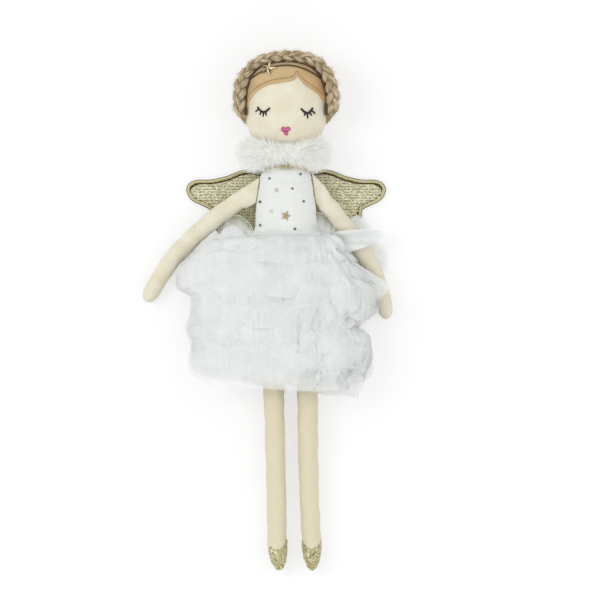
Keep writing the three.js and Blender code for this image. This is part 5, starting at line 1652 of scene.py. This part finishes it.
class DOLL_OT_skirt(bpy.types.Operator):
    """Hang the waistband, the lining and the gathered net ruffles"""

    bl_idname = "doll.skirt"
    bl_label = "Skirt"

    def execute(self, context):
        self.waistband()
        for side in HALVES:
            self.lining(side)
            for index, row in enumerate(RUFFLES):
                self.ruffle(context.scene.doll_sizes, side, row, index)
        return {"FINISHED"}

    def squashed(self, piece, side):
        """A soft half of the skirt gets a mesh of its own; its side is not used."""
        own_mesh(piece)

    def waistband(self):
        """A gathered casing: the body's surface between two heights, lifted off it and crimped."""
        low, high = box("waistband")
        u = np.linspace(low[1] - HIP_Y, 0.5 * (low[1] + high[1]) - HIP_Y, 12)[:, None] / BODY_LENGTH
        turn = turn_angles(180)[None, :]
        outer = BODY.at(-CASING_LIFT, u, turn)
        crimp = CRIMP_DEPTH * np.sin(CRIMP_COUNT * turn) * np.ones_like(u)
        outer = outer + normals(outer, True) * crimp[..., None]
        grid = np.concatenate([outer, BODY.at(-CASING_ROOT, u[::-1], turn)])
        shape = surface(grid, round_columns=True, round_rows=True, uv_size=(200, 16))
        piece = make_piece("waistband_casing", shape, finish("bleached_cotton"))
        dress(piece, "torso", "cotton", "waistband")

    def section(self, y, angle, right, left, front, back, middle):
        """A ring of the skirt: an ellipse above its middle height, and flattened to the ground below it."""
        across, rise = np.cos(angle), np.sin(angle)
        x = across * np.where(across > 0, left, right)
        deep = np.where(rise > 0, (front - middle) * rise, -(middle - back) * np.sqrt(np.abs(rise)))
        return np.stack(np.broadcast_arrays(x, y, middle + deep), -1)

    def lining(self, side):
        """Half of the cotton lining, with soft folds that deepen to its hem."""
        angle = np.linspace(*HALVES[side], 90)[None, :]
        y = np.linspace(LINING_TOP, LINING_HEM, 40)[:, None]
        share = (y - LINING_TOP) / (LINING_HEM - LINING_TOP)
        wide = profile(LINING_WIDTH, -y) + LINING_FOLD * share * np.sin(9 * angle)
        middle = mix(AXIS_Z, LINING_SINK * AXIS_Z, share)
        grid = self.section(y, angle, wide, wide, profile(LINING_FRONT, -y), profile(LINING_BACK, -y), middle)
        shape = surface(grid, uv_size=(200, 130))
        piece = make_piece(f"skirt_lining_{side}", shape, finish("bleached_cotton"), closed=False)
        dress(piece, "torso", "cotton", "skirt_lining")
        self.squashed(piece, side)

    def ruffle(self, sizes, side, row, index):
        """Half of one gathered net ruffle, in two layers."""
        grids = [self.ruffle_layer(sizes, side, row, 10 * index + k, k) for k in range(RUFFLE_LAYERS)]
        shape = joined([surface(grid) for grid in grids])
        piece = make_piece(f"ruffle_{index + 1}_{side}", shape, finish("nylon_net"), closed=False)
        nodes = [f"tulle_tier_{row.tier}"] + (["skirt_back_gathers"] if index == BACK_GATHERS_RUFFLE else [])
        dress(piece, "torso", "net", *nodes)
        self.squashed(piece, side)

    def ruffle_layer(self, sizes, side, row, seed, layer):
        """One half of a sheet that hangs round the whole skirt, folded and crumpled and kept off the ground.
        Both halves come from the same whole ring, so that they meet in front."""
        lean = np.random.default_rng(200 + seed).uniform(0, FULL_TURN, 9)
        angle = np.linspace(-0.5 * np.pi, 1.5 * np.pi, 2 * RUFFLE_COLUMNS - 1)[None, :]
        v = np.linspace(0, 1, RUFFLE_ROWS)[:, None]
        grid = self.folded(sizes, self.hung(row, layer, angle, v, lean), angle, v, lean)
        grid = self.crumpled(grid, angle, v, seed)
        grid[..., 2] = np.maximum(grid[..., 2], NET_FLOOR)
        return grid[:, :RUFFLE_COLUMNS] if side == "left" else grid[:, RUFFLE_COLUMNS - 1 :]

    def hung(self, row, layer, angle, v, lean):
        """A sheet that leaves its gathered top inside the skirt's outline, reaches the outline a third of the
        way down and lies along it to an uneven hem."""
        hem_side = np.where(np.cos(angle) > 0, row.hem_left, row.hem_right)
        hem = mix(row.hem_middle, hem_side, np.abs(np.cos(angle)) ** 1.5) + RUFFLE_LAYER_STEP * layer
        hem = hem + slow_waves(HEM_WAVES, angle, lean[:2])
        sway = slow_waves(TOP_WAVES, angle, lean[2:4])
        below_waist = row.top < WAIST_Y - 4
        y = mix(row.top + sway * below_waist, hem, v)
        out = ease(v / 0.34)
        drawn_in = 1 - 0.025 * layer + 0.02 * v**3
        top = -row.top
        sewn_width = profile(LINING_WIDTH, top) + RUFFLE_SEAM_GAP
        sewn_middle = mix(AXIS_Z, LINING_SINK * AXIS_Z, (top + LINING_TOP) / LINING_LENGTH)
        return self.section(
            y, angle,
            mix(sewn_width, profile(SKIRT_RIGHT, -y) * drawn_in, out),
            mix(sewn_width, profile(SKIRT_LEFT, -y) * drawn_in, out),
            mix(profile(LINING_FRONT, top) + RUFFLE_SEAM_GAP, profile(SKIRT_FRONT, -y) * drawn_in, out),
            mix(profile(LINING_BACK, top) - RUFFLE_SEAM_GAP, SKIRT_BACK, ease(v)),
            mix(sewn_middle, SKIRT_MIDDLE, ease(v)),
        )

    def in_front(self, angle):
        """1 over the front of the skirt, falling to 0 at the back."""
        return ease(0.3 + 1.2 * np.sin(angle))

    def folded(self, sizes, grid, angle, v, lean):
        """Folds sin p + 0.35 sin 2.3p along the normals, where the phase p runs unevenly round the skirt, and
        a slide of 0.8 sin 2p along the rows, all deeper in some stretches, at the left and towards the
        hem."""
        phase = sizes.fold_count * (angle + slow_waves(FOLD_WAVES, angle, lean[4:6]))
        swell = sizes.fold_depth / MM * ease(v / 0.6) * (0.35 + 0.65 * np.sin(1.9 * angle + lean[6]) ** 2)
        swell = swell * self.in_front(angle) * (0.9 + 0.7 * np.cos(angle))
        deep = swell * (np.sin(phase) + 0.35 * np.sin(2.3 * phase + lean[7]))
        slide = 0.8 * swell * np.sin(2 * phase + lean[8])
        return grid + normals(grid) * deep[..., None] + unit(np.gradient(grid, axis=1)) * slide[..., None]

    def crumpled(self, grid, angle, v, seed):
        """Soft lumps that grow towards the hem, and rounded puffs 2 |lump| - 0.9 with sharp creases."""
        grid = grid + normals(grid) * (RIPPLE_DEPTH * v * ripple(grid, RIPPLE_LENGTH, 300 + seed))[..., None]
        puff = 2 * np.abs(ripple(grid, CRUMPLE_LENGTH, 400 + seed)) - 0.9
        puff = puff * (1 + 0.4 * np.cos(angle)) * ease(v / 0.3)
        return grid + normals(grid) * (CRUMPLE_DEPTH * puff * self.in_front(angle))[..., None]


class DOLL_OT_flounces(bpy.types.Operator):
    """Pull loose lobes of net out of the top of the skirt"""

    bl_idname = "doll.flounces"
    bl_label = "Flounces"

    def execute(self, context):
        for index, flounce in enumerate(FLOUNCES):
            self.lobe(flounce, index)
        return {"FINISHED"}

    def lobe(self, flounce, index):
        """Layers of net that fan from a gathered base line to a rounded outline, rippled more towards the
        outline. A rimmed lobe fades out sooner and has a bright edge."""
        outline = smooth_line(flounce.outline, FLOUNCE_COLUMNS)[None]
        base = even(np.array(flounce.base, float), FLOUNCE_COLUMNS)[None]
        v = np.linspace(0, 1, FLOUNCE_ROWS)[:, None]
        s = np.linspace(0, 1, FLOUNCE_COLUMNS)[None, :]
        grids = []
        for layer in range(flounce.layers):
            grid = mix(base, outline, (v**0.85 * (1 - 0.07 * layer))[..., None])
            wave = np.sin(FULL_TURN * flounce.folds * (s + 0.05 * np.sin(9 * s + index)) + 1.7 * layer)
            grid = grid + normals(grid) * (flounce.depth * v * wave)[..., None]
            grid = grid + UP * ((1.6 + 0.7 * layer) * np.sin(np.pi * v))[..., None]
            grid[..., 2] = np.maximum(grid[..., 2], NET_FLOOR)
            grids.append(grid)
        shapes = [surface(grid, uv_size=(300, 1500 if flounce.rim else 800)) for grid in grids]
        if flounce.rim:
            points, faces, uv = tube(grids[0][-1], flounce.rim, 6, UP)
            shapes.append((points, faces, np.broadcast_to(UNFADED_UV, uv.shape)))
        piece = make_piece(flounce.name, joined(shapes), finish("nylon_net"), closed=False)
        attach(piece, "torso")
        if flounce.joint:
            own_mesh(piece)


class DOLL_OT_stage(bpy.types.Operator):
    """Set the white floor, the soft lamps and the camera over the doll"""

    bl_idname = "doll.stage"
    bl_label = "Stage"

    def execute(self, context):
        self.floor()
        self.lamps(context.scene)
        self.world(context.scene)
        self.camera(context.scene)
        context.scene.view_settings.view_transform = "Standard"
        return {"FINISHED"}

    def floor(self):
        """A white paper sweep. To the camera it glows a little, so that it is white where no shadow falls."""
        corner = np.array([[-FLOOR_HALF_WIDTH, FLOOR_HALF_WIDTH]] * 2, float)
        grid = np.stack([corner, corner.T, np.full((2, 2), FLOOR_LEVEL)], -1)
        made = bpy.data.materials.new("white_paper")
        made.use_nodes = True
        tree = made.node_tree
        paper = tree.nodes["Principled BSDF"]
        fill(tree, paper, {"Base Color": linear("#FAFAFA"), "Roughness": 1.0, "Specular IOR Level": 0.0})
        path = add_node(tree, "LightPath")
        seen = path["Is Camera Ray"]
        for ray in ("Is Glossy Ray", "Is Transmission Ray"):
            seen = add_node(tree, "Math", {0: seen, 1: path[ray]}, operation="MAXIMUM")["Value"]
        share = add_node(tree, "Math", {0: seen, 1: FLOOR_GLOW}, operation="MULTIPLY")["Value"]
        glow = add_node(tree, "Emission", {"Color": (1, 1, 1, 1), "Strength": 1.0})["Emission"]
        both = add_node(tree, "MixShader", {0: share, 1: paper.outputs["BSDF"], 2: glow})["Shader"]
        fill(tree, tree.nodes["Material Output"], {"Surface": both})
        make_piece("floor", surface(grid[::-1]), made, closed=False)

    def lamps(self, scene):
        """Wide lamps round the doll, all aimed at it, so that every shadow is soft."""
        for name, place, power, width in LAMPS:
            lamp = bpy.data.lights.new(name, "AREA")
            lamp.energy, lamp.size = power, width
            holder = bpy.data.objects.new(name, lamp)
            holder.location = place
            aim = Vector(np.array(LAMPS_AIM) - np.array(place))
            holder.rotation_euler = aim.to_track_quat("-Z", "Y").to_euler()
            scene.collection.objects.link(holder)

    def world(self, scene):
        """A white room, fully white to the camera and dimmer in the light that it gives."""
        world = bpy.data.worlds.new("white_room")
        world.use_nodes = True
        tree = world.node_tree
        seen = add_node(tree, "LightPath")["Is Camera Ray"]
        level = add_node(tree, "MapRange", {"Value": seen, "To Min": ROOM_LIGHT, "To Max": 1.0})["Result"]
        fill(tree, tree.nodes["Background"], {"Color": (1, 1, 1, 1), "Strength": level})
        scene.world = world

    def camera(self, scene):
        """A camera straight above the doll, far enough for a view with little perspective."""
        lens = bpy.data.cameras.new("camera")
        lens.sensor_width = SENSOR
        lens.lens = SENSOR * VIEW_DISTANCE / VIEW_FIELD
        lens.clip_end = 20
        holder = bpy.data.objects.new("camera", lens)
        holder.location = np.array((*VIEW_CENTRE, VIEW_DISTANCE + VIEW_LEVEL)) * MM
        scene.collection.objects.link(holder)
        scene.camera = holder


OPERATORS = (
    DOLL_OT_stage,
    DOLL_OT_body,
    DOLL_OT_head,
    DOLL_OT_hair,
    DOLL_OT_plait,
    DOLL_OT_collar,
    DOLL_OT_arms,
    DOLL_OT_legs,
    DOLL_OT_wings,
    DOLL_OT_skirt,
    DOLL_OT_flounces,
)


class DOLL_PT_pieces(bpy.types.Panel):
    """Lists the doll's pieces, sizes and colours"""

    bl_idname = "DOLL_PT_pieces"
    bl_label = "Cloth Angel Doll"
    bl_space_type = "VIEW_3D"
    bl_region_type = "UI"
    bl_category = "Doll"

    def draw(self, context):
        for operator in OPERATORS:
            self.layout.operator(operator.bl_idname)
        for group in (context.scene.doll_sizes, context.scene.doll_colours):
            column = self.layout.column()
            for name in group.__annotations__:
                column.prop(group, name)


CLASSES = (DollColours, DollSizes, *OPERATORS, DOLL_PT_pieces)


def register():
    for made in CLASSES:
        bpy.utils.register_class(made)
    bpy.types.Scene.doll_colours = PointerProperty(type=DollColours)
    bpy.types.Scene.doll_sizes = PointerProperty(type=DollSizes)


def unregister():
    del bpy.types.Scene.doll_sizes
    del bpy.types.Scene.doll_colours
    for made in reversed(CLASSES):
        bpy.utils.unregister_class(made)


def main():
    register()
    for operator in OPERATORS:
        group, name = operator.bl_idname.split(".")
        getattr(getattr(bpy.ops, group), name)()


if __name__ == "__main__":
    main()
